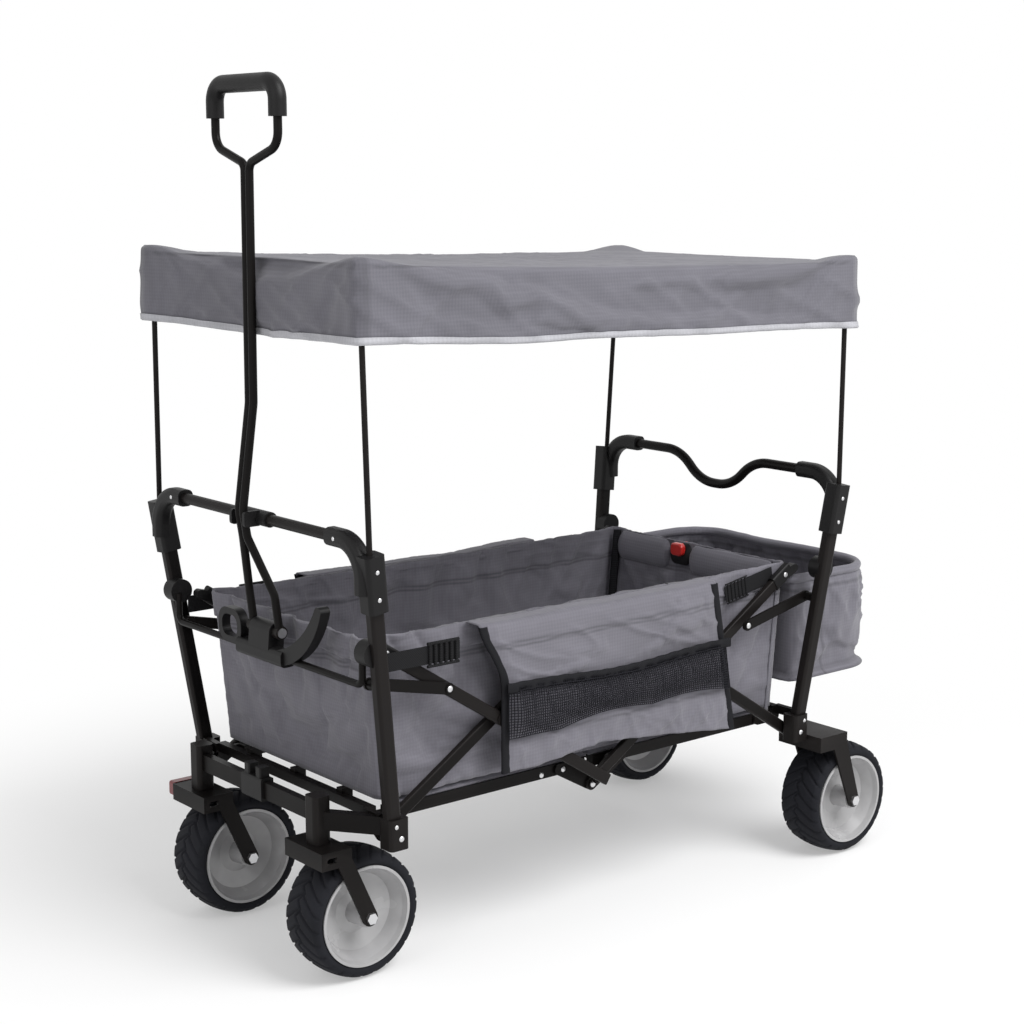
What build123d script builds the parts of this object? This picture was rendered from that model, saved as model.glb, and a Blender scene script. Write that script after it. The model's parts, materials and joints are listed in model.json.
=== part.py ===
from build123d import *
import math
import os

os.makedirs("parts", exist_ok=True)

# All sizes are in millimetres. X points to the pull handle, Y to the left, Z up.
# Reach is a distance along X from the middle of the folding frame. End is 1 at the
# front and -1 at the rear. Each pair is drawn on the left and mirrored to the right.

# Clearances
fit_gap = 0.1
run_gap = 0.05
side_gap = 0.2

# Corner posts, which lean outwards both ways. The reach of the lower pivots sets the
# length of the wagon, and the other reaches follow it
frame_mid = 63.25
pivot_reach = 400.0
foot_reach = pivot_reach + 2
foot_spread = 246.0
foot_height = 214.0
head_reach = foot_reach + 54
head_spread = 276.0
head_height = 620.0
post_width = 22.0
post_depth = 18.0
post_corner = 5.0
post_wall = 1.6

# Plastic elbows at the post tops, the bars between them and the canopy poles
bar_reach = head_reach + 4
bar_height = 640.0
bar_radius = 8.0
post_top = bar_height - 52
sleeve_top = bar_height - 14
sleeve_bottom = sleeve_top - 78
sleeve_width = 31.0
sleeve_depth = 29.0
arm_size = 25.0
arm_bend = 50.0
arm_spread = 268.0
arm_start = bar_height - 68
bar_wall = 1.5
socket_mouth = 192.0
socket_depth = 20.0
dip_depth = 48.0
dip_half = 36.0
dip_shoulder = 88.0
dip_bend = 80.0
pole_radius = 4.0
pole_bottom = bar_height - 46
pole_reach = head_reach + 1
pole_spread = 277.0
pole_top_spread = 266.0
front_pole_top_reach = pole_reach + 4
rear_pole_top_reach = pole_reach + 16

# Canopy
canopy_front = frame_mid + bar_reach + 15.75
canopy_rear = frame_mid - bar_reach - 27.25
canopy_half = 280.0
canopy_front_draw = 28.0
canopy_rear_draw = 18.0
canopy_side_draw = 8.0
canopy_corner = 12.0
canopy_hem = 885.0
canopy_top = 996.5
canopy_cloth = 3.0
canopy_slope = 1.4

# Folding floor: end pivots under the walls, and a low middle pin that folds upwards
floor_reach = pivot_reach - 35
floor_height = 236.0
pin_height = 203.0
folded_half = 65.0
rail_inner = 180.0
rail_width = 14.0
rail_depth = 18.0
rail_wall = 1.5
rail_gap = 8.0
rail_over = 12.0
board_thick = 8.0
board_half = 192.0
stud_radius = 4.0
head_radius = 7.0
head_thick = 1.6

# Side linkage: two layers of bars, and stays outside them
pivot_height = 220.0
truss_top = 476.0
bar_tall = 18.0
bar_thick = 10.0
bar_end = 10.0
bar_skin = 1.5
inner_layer = 214.0
outer_layer = 226.0
stay_inner = 233.0
stay_thick = 4.0
stay_radius = 8.5
stay_height = truss_top - 36
cap_skin = 1.2
cap_cover = 26.0

# Base frames
box_in = pivot_reach - 14
box_out = pivot_reach + 18
box_inner = 232.5
box_outer = 262.0
box_bottom = 206.0
box_top = 250.0
tube_size = 14.0
tube_reach = pivot_reach + 5.5
tube_height = 246.0
tie_reach = pivot_reach + 8
rung_long = 19.0
rung_places = (0.0, 120.0)
ear_inner = 195.0
ear_thick = 5.0

# Wheels
tyre_radius = 92.5
tyre_half = 38.7
tyre_crown = 4.0
tread_half = tyre_half - 5.2
rim_radius = 70.0
bead_half = tyre_half - 5.7
bolt_radius = 5.0
hub_half = 40.0
fork_gap = 42.0
fork_plate = 4.0
fork_foot = 12.0
bracket_tall = 25.0
bracket_skin = 5.0
caster_bracket = 50.0
caster_blade = 12.0
caster_reach = pivot_reach + 66
caster_spread = 156.0
caster_trail = 55.0
caster_top = 203.0
stem_radius = 8.0
stem_tube = 28.0
stem_top = 272.0
rear_axle_reach = box_out + 85.6
rear_wheel_spread = 243.5
rear_bracket_top = 214.0
rear_bracket_out = box_out + 64
rear_blade = 16.0

# Pull handle
clamp_height = bar_height - 152
clamp_radius = 18.0
front_clamp_face = 242.0
rear_clamp_face = 245.0
carrier_reach = pivot_reach + 48
carrier_height = clamp_height - 46
carrier_radius = 5.0
clamp_spread = 243.0
horn_half = 8.0
handle_x = frame_mid + carrier_reach - 4
handle_pivot = carrier_height + 33
handle_radius = 6.0
handle_arm = 33.5
eye_half = 6.2
shaft_half = 5.75
fork_rise = 55.0
fork_lean = 7.0
neck_rise = 137.0
neck_lean = 32.0
knee_rise = 175.0
knee_lean = 38.0
shaft_rise = 325.0
shaft_lean = 17.0
top_lean = 15.0
fork_bend = 24.0
knee_bend = 40.0
shaft_bend = 60.0
yoke_bend = 14.0
loop_bend = 26.0
grip_height = 1236.0
grip_half = 80.0
grip_radius = 12.5
grip_bend = 24.0
grip_drop = 46.0
yoke_drop = 108.0
yoke_rise = 24.0

# Cloth
wall_thick = 5.0
wall_base_reach = pivot_reach - 10
wall_lean = 24.0
wall_bottom = 246.0
front_wall_low = wall_bottom + 14
wall_top = 493.0
side_inner = 200.0
fold_depth = 4.0
side_fold = 2.2
panel_inner = 233.5
panel_thick = 3.5
panel_front_hem = wall_bottom + 21
panel_mid_hem = wall_bottom + 32
panel_rear_hem = wall_bottom + 1
strap_thick = 0.8
strap_tall = 27.0
front_strap = front_clamp_face - strap_thick
rear_strap = side_inner + wall_thick + side_fold / 2 + fit_gap
bag_front_reach = pivot_reach + 24
bag_rear_reach = bag_front_reach + 206
bag_half = 213.0
bag_bottom = 292.0
bag_top = 470.0
bag_cloth = 5.0
rim_reach = bag_front_reach + 22
rim_thick = 9.0

# Release button at the top of the rear wall
button_wide = 28.0
button_tall = 22.0
button_deep = 9.5
button_place = -31.0
button_travel = 3.5
button_head = 5.8
button_height = bag_top + fit_gap + rim_thick + button_head + 2 * side_gap


def at(end, reach):
    return frame_mid + end * reach


def post_point(end, height):
    share = (height - foot_height) / (head_height - foot_height)
    reach = foot_reach + share * (head_reach - foot_reach)
    spread = foot_spread + share * (head_spread - foot_spread)
    return Vector(at(end, reach), spread, height)


def post_plane(end, height):
    way = (post_point(end, head_height) - post_point(end, foot_height)).normalized()
    return Plane(origin=post_point(end, height), x_dir=Vector(0, 1, 0).cross(way), z_dir=way)


def post_run(end, low, high):
    return (post_point(end, high) - post_point(end, low)).length


def upright(y):
    return Plane.XZ.offset(-y)


def across(x):
    return Plane(origin=(x, 0, 0), x_dir=(0, 1, 0), z_dir=(1, 0, 0))


# A round stud along Y through two layers, with a flat head at each end
def stud(x, z, low, high):
    with BuildSketch(upright(high)) as outline:
        with Locations((x, z)):
            Circle(stud_radius)
    extrude(outline.sketch, amount=high - low)


def heads(x, z, places):
    for low in places:
        with BuildSketch(upright(low + head_thick)) as outline:
            with Locations((x, z)):
                Circle(head_radius)
        extrude(outline.sketch, amount=head_thick)


# The linkage's angles at rest and folded. The stay's mark along the upper bar is where
# its distance from the stay's pivot is the same in both states
bar_length = math.hypot(pivot_reach, truss_top - pivot_height)
bar_angle = math.atan2(truss_top - pivot_height, pivot_reach)
bar_folded = math.acos((folded_half + pivot_reach - floor_reach) / bar_length)
stay_reach = abs(post_point(1, stay_height).X - frame_mid)
to_tip = Vector(pivot_reach - stay_reach, truss_top - stay_height)
to_folded_tip = Vector(
    pivot_reach - stay_reach,
    pivot_height + bar_length * math.sin(bar_folded) - stay_height,
)
tip_way = Vector(math.cos(bar_angle), math.sin(bar_angle))
folded_way = Vector(math.cos(bar_folded), math.sin(bar_folded))
stay_mark = (to_tip.dot(to_tip) - to_folded_tip.dot(to_folded_tip)) / 2
stay_mark /= to_tip.dot(tip_way) - to_folded_tip.dot(folded_way)
mark_reach = pivot_reach - stay_mark * math.cos(bar_angle)
mark_height = truss_top - stay_mark * math.sin(bar_angle)
cross_reach = pivot_reach / 2
cross_height = (truss_top + pivot_height) / 2


# Posts, each with the welded stud that carries its stay
def make_post(end):
    with BuildPart() as post:
        with BuildSketch(post_plane(end, foot_height)):
            RectangleRounded(post_width, post_depth, post_corner)
        extrude(amount=post_run(end, foot_height, post_top))
        stud(at(end, stay_reach), stay_height, stay_inner - side_gap, post_point(end, stay_height).Y)
        with BuildSketch(upright(post_point(end, stay_height).Y)):
            with Locations((at(end, stay_reach), stay_height)):
                Circle(head_radius)
        extrude(amount=post_point(end, stay_height).Y - stay_inner - stay_thick - side_gap)
        heads(at(end, stay_reach), stay_height, [stay_inner - side_gap - head_thick])
        with BuildSketch(post_plane(end, foot_height)):
            RectangleRounded(post_width - 2 * post_wall, post_depth - 2 * post_wall, post_corner - post_wall)
        extrude(amount=post_run(end, foot_height, post_top), mode=Mode.SUBTRACT)
    return post


# Pole tips, just under the sloping canopy
def pole_tip(end, top_reach):
    x = at(end, top_reach)
    rise = (x - (canopy_front + canopy_rear) / 2) * math.tan(math.radians(canopy_slope))
    return Vector(x, pole_top_spread, canopy_top - canopy_cloth - 0.6 + rise)


# Elbows: a sleeve on the post, a bent arm to the bar, and a hole for the pole
def make_elbows(end, top_reach):
    foot = Vector(at(end, pole_reach), pole_spread, pole_bottom)
    tip = pole_tip(end, top_reach)
    with BuildPart() as elbows:
        with BuildSketch(post_plane(end, sleeve_bottom)):
            RectangleRounded(sleeve_width, sleeve_depth, 6)
        extrude(amount=post_run(end, sleeve_bottom, sleeve_top))
        with BuildLine(across(at(end, bar_reach))) as route:
            Line((arm_spread, arm_start), (arm_spread, bar_height - arm_bend))
            RadiusArc(
                (arm_spread, bar_height - arm_bend),
                (arm_spread - arm_bend, bar_height),
                -arm_bend,
            )
            Line((arm_spread - arm_bend, bar_height), (socket_mouth, bar_height))
        with BuildSketch(Plane(origin=(at(end, bar_reach), arm_spread, arm_start), z_dir=(0, 0, 1))):
            RectangleRounded(arm_size, arm_size, 9)
        sweep(path=route.wires()[0])
        with BuildSketch(post_plane(end, sleeve_bottom - 2)):
            RectangleRounded(post_width + 2 * fit_gap, post_depth + 2 * fit_gap, post_corner)
        extrude(amount=post_run(end, sleeve_bottom - 2, post_top + fit_gap), mode=Mode.SUBTRACT)
        with BuildSketch(upright(socket_mouth + socket_depth)):
            with Locations((at(end, bar_reach), bar_height)):
                Circle(bar_radius + fit_gap)
        extrude(amount=socket_depth + 2, mode=Mode.SUBTRACT)
        with BuildSketch(Plane(origin=foot, z_dir=(tip - foot).normalized())):
            Circle(pole_radius + fit_gap)
        extrude(amount=70, mode=Mode.SUBTRACT)
        mirror(about=Plane.XZ)
    return elbows


def make_poles(end, top_reach):
    foot = Vector(at(end, pole_reach), pole_spread, pole_bottom + side_gap)
    tip = pole_tip(end, top_reach)
    with BuildPart() as poles:
        with BuildSketch(Plane(origin=foot, z_dir=(tip - foot).normalized())):
            Circle(pole_radius)
        extrude(amount=(tip - foot).length)
        mirror(about=Plane.XZ)
    return poles


front_left_post = make_post(1)
rear_left_post = make_post(-1)
with BuildPart() as front_right_post:
    mirror(front_left_post.part, about=Plane.XZ)
with BuildPart() as rear_right_post:
    mirror(rear_left_post.part, about=Plane.XZ)
front_elbows = make_elbows(1, front_pole_top_reach)
rear_elbows = make_elbows(-1, rear_pole_top_reach)
front_poles = make_poles(1, front_pole_top_reach)
rear_poles = make_poles(-1, rear_pole_top_reach)

bar_half = socket_mouth + socket_depth - side_gap
with BuildPart() as front_bar:
    with BuildSketch(upright(bar_half)):
        with Locations((at(1, bar_reach), bar_height)):
            Circle(bar_radius)
            Circle(bar_radius - bar_wall, mode=Mode.SUBTRACT)
    extrude(amount=2 * bar_half)

with BuildPart() as push_bar:
    with BuildLine(across(at(-1, bar_reach))) as push_route:
        FilletPolyline(
            (bar_half, bar_height),
            (dip_shoulder, bar_height),
            (dip_half, bar_height - dip_depth),
            (-dip_half, bar_height - dip_depth),
            (-dip_shoulder, bar_height),
            (-bar_half, bar_height),
            radius=dip_bend,
        )
    with BuildSketch(upright(bar_half)):
        with Locations((at(-1, bar_reach), bar_height)):
            Circle(bar_radius)
            Circle(bar_radius - bar_wall, mode=Mode.SUBTRACT)
    sweep(path=push_route.wires()[0])


# Base of each end frame: boxes for the post feet, cross tubes, and ears for the floor
def base_core(end, stud_low):
    with BuildSketch(Plane.XY.offset(box_bottom)) as outline:
        with Locations((at(end, (box_in + box_out) / 2), (box_inner + box_outer) / 2)):
            RectangleRounded(box_out - box_in, box_outer - box_inner, 6)
    extrude(outline.sketch, amount=box_top - box_bottom)
    with BuildSketch(upright(ear_inner + ear_thick + side_gap)) as outline:
        with Locations((at(end, tube_reach), tube_height)):
            Rectangle(tube_size, tube_size)
    extrude(outline.sketch, amount=ear_inner + ear_thick + side_gap)
    with BuildSketch(upright(box_inner + 1)) as outline:
        with Locations((at(end, (tie_reach + box_out) / 2), tube_height)):
            Rectangle(box_out - tie_reach, tube_size)
    extrude(outline.sketch, amount=box_inner + 1 - ear_inner)
    with BuildSketch(upright(ear_inner + ear_thick)) as outline:
        with Locations((at(end, floor_reach), floor_height), (at(end, tube_reach), floor_height)):
            Circle(9)
        make_hull()
    extrude(outline.sketch, amount=ear_thick)
    stud(at(end, floor_reach), floor_height, rail_inner + 1, ear_inner + 1)
    stud(at(end, pivot_reach), pivot_height, stud_low, box_inner + 1)
    heads(at(end, pivot_reach), pivot_height, [stud_low - head_thick])
    with BuildSketch(upright(box_inner + 1)) as outline:
        with Locations((at(end, pivot_reach), pivot_height)):
            Circle(head_radius)
    extrude(outline.sketch, amount=box_inner + 1 - stud_low - bar_thick - 2 * side_gap)


def base_sockets(end):
    with BuildSketch(post_plane(end, foot_height - fit_gap)) as outline:
        RectangleRounded(post_width + 2 * fit_gap, post_depth + 2 * fit_gap, post_corner)
    extrude(outline.sketch, amount=80, mode=Mode.SUBTRACT)


with BuildPart() as front_base:
    base_core(1, inner_layer - bar_thick / 2 - side_gap)
    with BuildSketch(Plane.XY.offset(box_bottom + 18)):
        with Locations((at(1, foot_reach), foot_spread - 4), (at(1, caster_reach), caster_spread)):
            Circle(8)
        make_hull()
    extrude(amount=26)
    with BuildSketch(upright(caster_spread)):
        with Locations((at(1, caster_reach), tube_height)):
            Rectangle(12, 25)
    extrude(amount=caster_spread)
    for place in rung_places:
        with BuildSketch(Plane.XY.offset(tube_height - 1)):
            with Locations((at(1, tube_reach - rung_long / 2), place)):
                Rectangle(rung_long, 13)
        extrude(amount=front_wall_low - fit_gap - tube_height + 1)
    with BuildSketch(Plane.XY.offset(caster_top + side_gap)):
        with Locations((at(1, caster_reach), caster_spread)):
            RectangleRounded(stem_tube, stem_tube, 7)
    extrude(amount=stem_top - caster_top - side_gap)
    with BuildSketch(Plane.XY.offset(caster_top + side_gap)):
        with Locations((at(1, caster_reach), caster_spread)):
            Circle(stem_radius + run_gap)
    extrude(amount=stem_top - caster_top - 4, mode=Mode.SUBTRACT)
    base_sockets(1)
    mirror(about=Plane.XZ)

with BuildPart() as rear_base:
    base_core(-1, outer_layer - bar_thick / 2 - side_gap)
    base_sockets(-1)
    mirror(about=Plane.XZ)

# Plastic holder on the front cross beam, with two prongs
with BuildPart() as beam_clip:
    with BuildSketch(upright(27)):
        with Locations((at(1, caster_reach), tube_height)):
            RectangleRounded(21, 34, 3)
            Rectangle(12 + 2 * fit_gap, 25 + 2 * fit_gap, mode=Mode.SUBTRACT)
    extrude(amount=54)
    with BuildSketch(Plane.XY.offset(tube_height + 16)):
        with Locations((at(1, caster_reach), 15), (at(1, caster_reach), -15)):
            RectangleRounded(17, 14, 3)
    extrude(amount=16)


# Rear wheel brackets: a channel over the tyre with a blade on each side
def blade(end, place, top, axle, reach):
    for low in (-fork_gap - fork_plate, fork_gap):
        with BuildSketch(upright(place + low + fork_plate)) as outline:
            with Locations((at(end, top[0]), top[1])):
                Circle(reach)
            with Locations((at(end, axle), tyre_radius)):
                Circle(fork_foot)
            make_hull()
        extrude(outline.sketch, amount=fork_plate)


def bolt_hole(end, axle, place):
    with BuildSketch(upright(place + 60)) as outline:
        with Locations((at(end, axle), tyre_radius)):
            Circle(bolt_radius)
    extrude(outline.sketch, amount=120, mode=Mode.SUBTRACT)


fork_half = fork_gap + fork_plate
rear_bracket_low = rear_bracket_top - bracket_tall
with BuildPart() as rear_left_fork:
    with BuildSketch(Plane.XY.offset(rear_bracket_low)):
        with Locations((at(-1, (box_out + rear_bracket_out) / 2), rear_wheel_spread)):
            Rectangle(rear_bracket_out - box_out, 2 * fork_half)
    extrude(amount=bracket_tall)
    with BuildSketch(Plane.XY.offset(rear_bracket_low)):
        with Locations((at(-1, (box_out + fork_plate + rear_bracket_out) / 2), rear_wheel_spread)):
            Rectangle(rear_bracket_out - box_out - fork_plate, 2 * fork_gap)
    extrude(amount=bracket_tall - bracket_skin, mode=Mode.SUBTRACT)
    blade_top = (rear_bracket_out - rear_blade, rear_bracket_top - rear_blade - 1)
    blade(-1, rear_wheel_spread, blade_top, rear_axle_reach, rear_blade)
    bolt_hole(-1, rear_axle_reach, rear_wheel_spread)
with BuildPart() as rear_right_fork:
    mirror(rear_left_fork.part, about=Plane.XZ)

caster_axle = caster_reach - caster_trail
caster_low = caster_top - bracket_tall
slot_reach = caster_reach + 6
slot_height = caster_low + bracket_tall / 2
with BuildPart() as left_caster_fork:
    with BuildSketch(Plane.XY.offset(caster_low)):
        with Locations((at(1, caster_reach), caster_spread)):
            Rectangle(caster_bracket, 2 * fork_half)
    extrude(amount=bracket_tall)
    with BuildSketch(Plane.XY.offset(caster_low)):
        with Locations((at(1, caster_reach - fork_plate / 2), caster_spread)):
            Rectangle(caster_bracket - fork_plate, 2 * fork_gap)
    extrude(amount=bracket_tall - bracket_skin, mode=Mode.SUBTRACT)
    with BuildSketch(upright(caster_spread + fork_half + 1)):
        with Locations((at(1, slot_reach), slot_height)):
            SlotOverall(20, 2 * stud_radius)
    extrude(amount=2 * fork_half + 2, mode=Mode.SUBTRACT)
    blade_top = (caster_reach - caster_blade + 1, caster_top - caster_blade - 2)
    blade(1, caster_spread, blade_top, caster_axle, caster_blade)
    bolt_hole(1, caster_axle, caster_spread)
    with BuildSketch(Plane.XY.offset(caster_top - 1)):
        with Locations((at(1, caster_reach), caster_spread)):
            Circle(stem_radius)
    extrude(amount=stem_top - caster_top - 6)
with BuildPart() as right_caster_fork:
    mirror(left_caster_fork.part, about=Plane.XZ)

# Red swivel lock on the outer end of the right caster, on a stud through the slot
with BuildPart() as swivel_lock:
    lock_inner = -caster_spread - fork_half - side_gap
    with BuildSketch(upright(lock_inner)):
        with Locations((at(1, caster_reach + 2), caster_top - 10)):
            RectangleRounded(44, 22, 4)
    extrude(amount=13)
    stud_end = lock_inner + fork_plate + 2 * side_gap
    with BuildSketch(upright(stud_end)):
        with Locations((at(1, slot_reach), slot_height)):
            Circle(stud_radius - run_gap)
    extrude(amount=stud_end - lock_inner + 1)
    heads(at(1, slot_reach), slot_height, [stud_end])


# Axle bolts with a hexagon head outside each blade
def axle_bolt(end, axle, place):
    with BuildSketch(upright(place + fork_half)) as outline:
        with Locations((at(end, axle), tyre_radius)):
            Circle(bolt_radius)
    extrude(outline.sketch, amount=2 * fork_half)
    for low in (fork_half, -fork_half - 5):
        with BuildSketch(upright(place + low + 5)) as outline:
            with Locations((at(end, axle), tyre_radius)):
                RegularPolygon(8.5, 6)
        extrude(outline.sketch, amount=5)


with BuildPart() as left_caster_bolt:
    axle_bolt(1, caster_axle, caster_spread)
with BuildPart() as right_caster_bolt:
    axle_bolt(1, caster_axle, -caster_spread)
with BuildPart() as rear_axle_bolts:
    axle_bolt(-1, rear_axle_reach, rear_wheel_spread)
    axle_bolt(-1, rear_axle_reach, -rear_wheel_spread)


# Wheels: a dished rim with the same bowl on both sides, and a wide tyre
def make_tyre(x, y):
    shoulder = tyre_radius - tyre_crown
    side = [(shoulder - 6.5, tyre_half), (rim_radius + 6, tyre_half - 1.1)]
    with BuildPart() as tyre:
        with BuildSketch(Plane(origin=(x, y, tyre_radius), x_dir=(1, 0, 0), z_dir=(0, 0, 1))):
            with BuildLine():
                Polyline((shoulder, -tread_half), *[(r, -a) for r, a in side], (rim_radius, -bead_half))
                Line((rim_radius, -bead_half), (rim_radius, bead_half))
                Polyline((shoulder, tread_half), *side, (rim_radius, bead_half))
                ThreePointArc((shoulder, tread_half), (tyre_radius, 0), (shoulder, -tread_half))
            make_face()
        revolve(axis=Axis((x, y, tyre_radius), (0, 1, 0)))
    return tyre


def make_rim(x, y):
    lip = tyre_half - 0.5
    half = [(rim_radius, bead_half), (rim_radius + 3, bead_half + 3), (rim_radius + 3, lip)]
    half += [(rim_radius - 1, lip), (rim_radius - 4, bead_half - 3), (rim_radius - 14, 13)]
    half += [(rim_radius / 2 - 3, 6), (bolt_radius + 13, 9)]
    half += [(bolt_radius + 10, hub_half), (bolt_radius + run_gap, hub_half)]
    with BuildPart() as rim:
        with BuildSketch(Plane(origin=(x, y, tyre_radius), x_dir=(1, 0, 0), z_dir=(0, 0, 1))):
            Polygon(*half, *[(r, -a) for r, a in reversed(half)], align=None)
        revolve(axis=Axis((x, y, tyre_radius), (0, 1, 0)))
    return rim


front_left_tyre = make_tyre(at(1, caster_axle), caster_spread)
front_right_tyre = make_tyre(at(1, caster_axle), -caster_spread)
rear_left_tyre = make_tyre(at(-1, rear_axle_reach), rear_wheel_spread)
rear_right_tyre = make_tyre(at(-1, rear_axle_reach), -rear_wheel_spread)
front_left_rim = make_rim(at(1, caster_axle), caster_spread)
front_right_rim = make_rim(at(1, caster_axle), -caster_spread)
rear_left_rim = make_rim(at(-1, rear_axle_reach), rear_wheel_spread)
rear_right_rim = make_rim(at(-1, rear_axle_reach), -rear_wheel_spread)


# Floor halves: side rails, cross bars, and a hinge plate that hangs below each rail end
def make_floor_frame(end, plate_inner, plate_outer, holed):
    length = floor_reach + rail_over - rail_gap
    with BuildPart() as frame:
        with BuildSketch(Plane(origin=(at(end, rail_gap), 0, 0), x_dir=(0, end, 0), z_dir=(end, 0, 0))):
            with Locations((end * (rail_inner + rail_width / 2), floor_height)):
                Rectangle(rail_width, rail_depth)
        extrude(amount=length)
        for place in (rail_gap + 20, floor_reach / 2 - 15, floor_reach - 60):
            with BuildSketch(upright(rail_inner)):
                with Locations((at(end, place), floor_height)):
                    Rectangle(12, 12)
            extrude(amount=rail_inner)
        with BuildSketch(upright(plate_outer)):
            with Locations((at(end, 0), pin_height)):
                Circle(10)
            with Locations((at(end, 34), floor_height - 1), (at(end, 62), floor_height)):
                Circle(8)
            make_hull()
        extrude(amount=plate_outer - plate_inner)
        with BuildSketch(upright(plate_inner + 1)):
            with Locations((at(end, 48), floor_height)):
                Rectangle(26, 14)
        extrude(amount=plate_inner + 1 - rail_inner - rail_width)
        with BuildSketch(Plane(origin=(at(end, 80), 0, 0), x_dir=(0, end, 0), z_dir=(end, 0, 0))):
            with Locations((end * (rail_inner + rail_width / 2), floor_height)):
                Rectangle(rail_width - 2 * rail_wall, rail_depth - 2 * rail_wall)
        extrude(amount=length, mode=Mode.SUBTRACT)
        with BuildSketch(upright(ear_inner)):
            with Locations((at(end, floor_reach), floor_height)):
                Circle(stud_radius + run_gap)
        extrude(amount=rail_width + 4, mode=Mode.SUBTRACT)
        if holed:
            with BuildSketch(upright(plate_outer + 1)):
                with Locations((at(end, 0), pin_height)):
                    Circle(stud_radius + run_gap)
            extrude(amount=plate_outer - plate_inner + 2, mode=Mode.SUBTRACT)
        else:
            stud(at(end, 0), pin_height, plate_inner, plate_outer + 6)
            heads(at(end, 0), pin_height, [plate_outer + 1 + 4 + side_gap])
        mirror(about=Plane.XZ)
    return frame


rail_outer = rail_inner + rail_width
front_floor_frame = make_floor_frame(1, rail_outer, rail_outer + 4, False)
rear_floor_frame = make_floor_frame(-1, rail_outer + 4 + side_gap, rail_outer + 8 + side_gap, True)


def make_board(end, stop):
    low = floor_height + rail_depth / 2
    with BuildPart() as board:
        with BuildSketch(Plane.XY.offset(low)):
            with Locations((at(end, (3 + stop) / 2), 0)):
                RectangleRounded(stop - 3, 2 * board_half, 8)
        extrude(amount=board_thick)
    return board


front_floor_board = make_board(1, floor_reach - 8)
rear_floor_board = make_board(-1, floor_reach + rail_over)


# Linkage bars: flat tubes between two points given as reach and height
def bar_plane(end, start, stop, layer, back):
    way = Vector(end * (stop[0] - start[0]), 0, stop[1] - start[1]).normalized()
    foot = Vector(at(end, start[0]), layer, start[1]) - way * back
    return Plane(origin=foot, x_dir=(0, 1, 0), z_dir=way)


def make_bars(end, start, stop, layer, holes, studded):
    with BuildPart() as bars:
        with BuildSketch(bar_plane(end, start, stop, layer, bar_end)):
            RectangleRounded(bar_thick, bar_tall, 2.5)
            RectangleRounded(bar_thick - 2 * bar_skin, bar_tall - 2 * bar_skin, 1, mode=Mode.SUBTRACT)
        extrude(amount=bar_length + 2 * bar_end)
        for hole in holes:
            with BuildSketch(upright(layer + bar_thick)):
                with Locations((at(end, hole[0]), hole[1])):
                    Circle(stud_radius + run_gap)
            extrude(amount=2 * bar_thick, mode=Mode.SUBTRACT)
        if studded:
            low = inner_layer - bar_thick / 2 - side_gap
            high = outer_layer + bar_thick / 2 + side_gap
            stud(at(end, cross_reach), cross_height, low, high)
            heads(at(end, cross_reach), cross_height, [low - head_thick, high])
        mirror(about=Plane.XZ)
    return bars


foot_mark = (pivot_reach, pivot_height)
peak_mark = (0.0, truss_top)
base_mark = (0.0, pivot_height)
tip_mark = (pivot_reach, truss_top)
cross_mark = (cross_reach, cross_height)
front_lower_bars = make_bars(1, foot_mark, peak_mark, inner_layer, [foot_mark], True)
front_upper_bars = make_bars(1, base_mark, tip_mark, outer_layer, [cross_mark], False)
rear_lower_bars = make_bars(-1, foot_mark, peak_mark, outer_layer, [foot_mark], True)
rear_upper_bars = make_bars(-1, base_mark, tip_mark, inner_layer, [cross_mark], False)


# Plastic caps on the upper bar ends, each with a nose towards its post
def make_caps(end, layer):
    width = bar_thick + 2 * cap_skin
    with BuildPart() as caps:
        with BuildSketch(bar_plane(end, tip_mark, base_mark, layer, bar_end + 5)):
            RectangleRounded(width, bar_tall + 6, 4)
        extrude(amount=cap_cover + bar_end + 5)
        with BuildSketch(upright(layer + width / 2)):
            with Locations((at(end, pivot_reach), truss_top)):
                Circle(9)
            with Locations((at(end, pivot_reach + 22), truss_top + 8)):
                Circle(7)
            make_hull()
        extrude(amount=width)
        with BuildSketch(bar_plane(end, tip_mark, base_mark, layer, bar_end)):
            RectangleRounded(bar_thick + 0.02, bar_tall + 0.02, 2.5)
        extrude(amount=cap_cover + bar_end + 5, mode=Mode.SUBTRACT)
        mirror(about=Plane.XZ)
    return caps


front_bar_caps = make_caps(1, outer_layer)
rear_bar_caps = make_caps(-1, inner_layer)


# Stays from the posts to the upper bars, with a rivet head on the outer face
def make_stays(end):
    with BuildPart() as stays:
        with BuildSketch(upright(stay_inner + stay_thick)):
            with Locations((at(end, stay_reach), stay_height), (at(end, mark_reach), mark_height)):
                Circle(stay_radius)
            make_hull()
            with Locations((at(end, stay_reach), stay_height)):
                Circle(stud_radius + run_gap, mode=Mode.SUBTRACT)
        extrude(amount=stay_thick)
        heads(at(end, mark_reach), mark_height, [stay_inner + stay_thick])
        mirror(about=Plane.XZ)
    return stays


front_stays = make_stays(1)
rear_stays = make_stays(-1)


# Round plastic clamps on the inner faces of the posts
def make_clamps(end, inner, held):
    spread = post_point(end, clamp_height).Y
    with BuildPart() as clamps:
        with BuildSketch(upright(spread)):
            with Locations((at(end, carrier_reach - 5), clamp_height)):
                Circle(clamp_radius)
        extrude(amount=spread - inner)
        with BuildSketch(post_plane(end, clamp_height - 40)):
            RectangleRounded(post_width + fit_gap, post_depth + fit_gap, post_corner)
        extrude(amount=90, mode=Mode.SUBTRACT)
        if held:
            with BuildSketch(Plane.XY.offset(clamp_height - 40)):
                with Locations((at(end, carrier_reach), clamp_spread)):
                    Circle(carrier_radius + fit_gap)
            extrude(amount=37 + fit_gap, mode=Mode.SUBTRACT)
        mirror(about=Plane.XZ)
    return clamps


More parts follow.
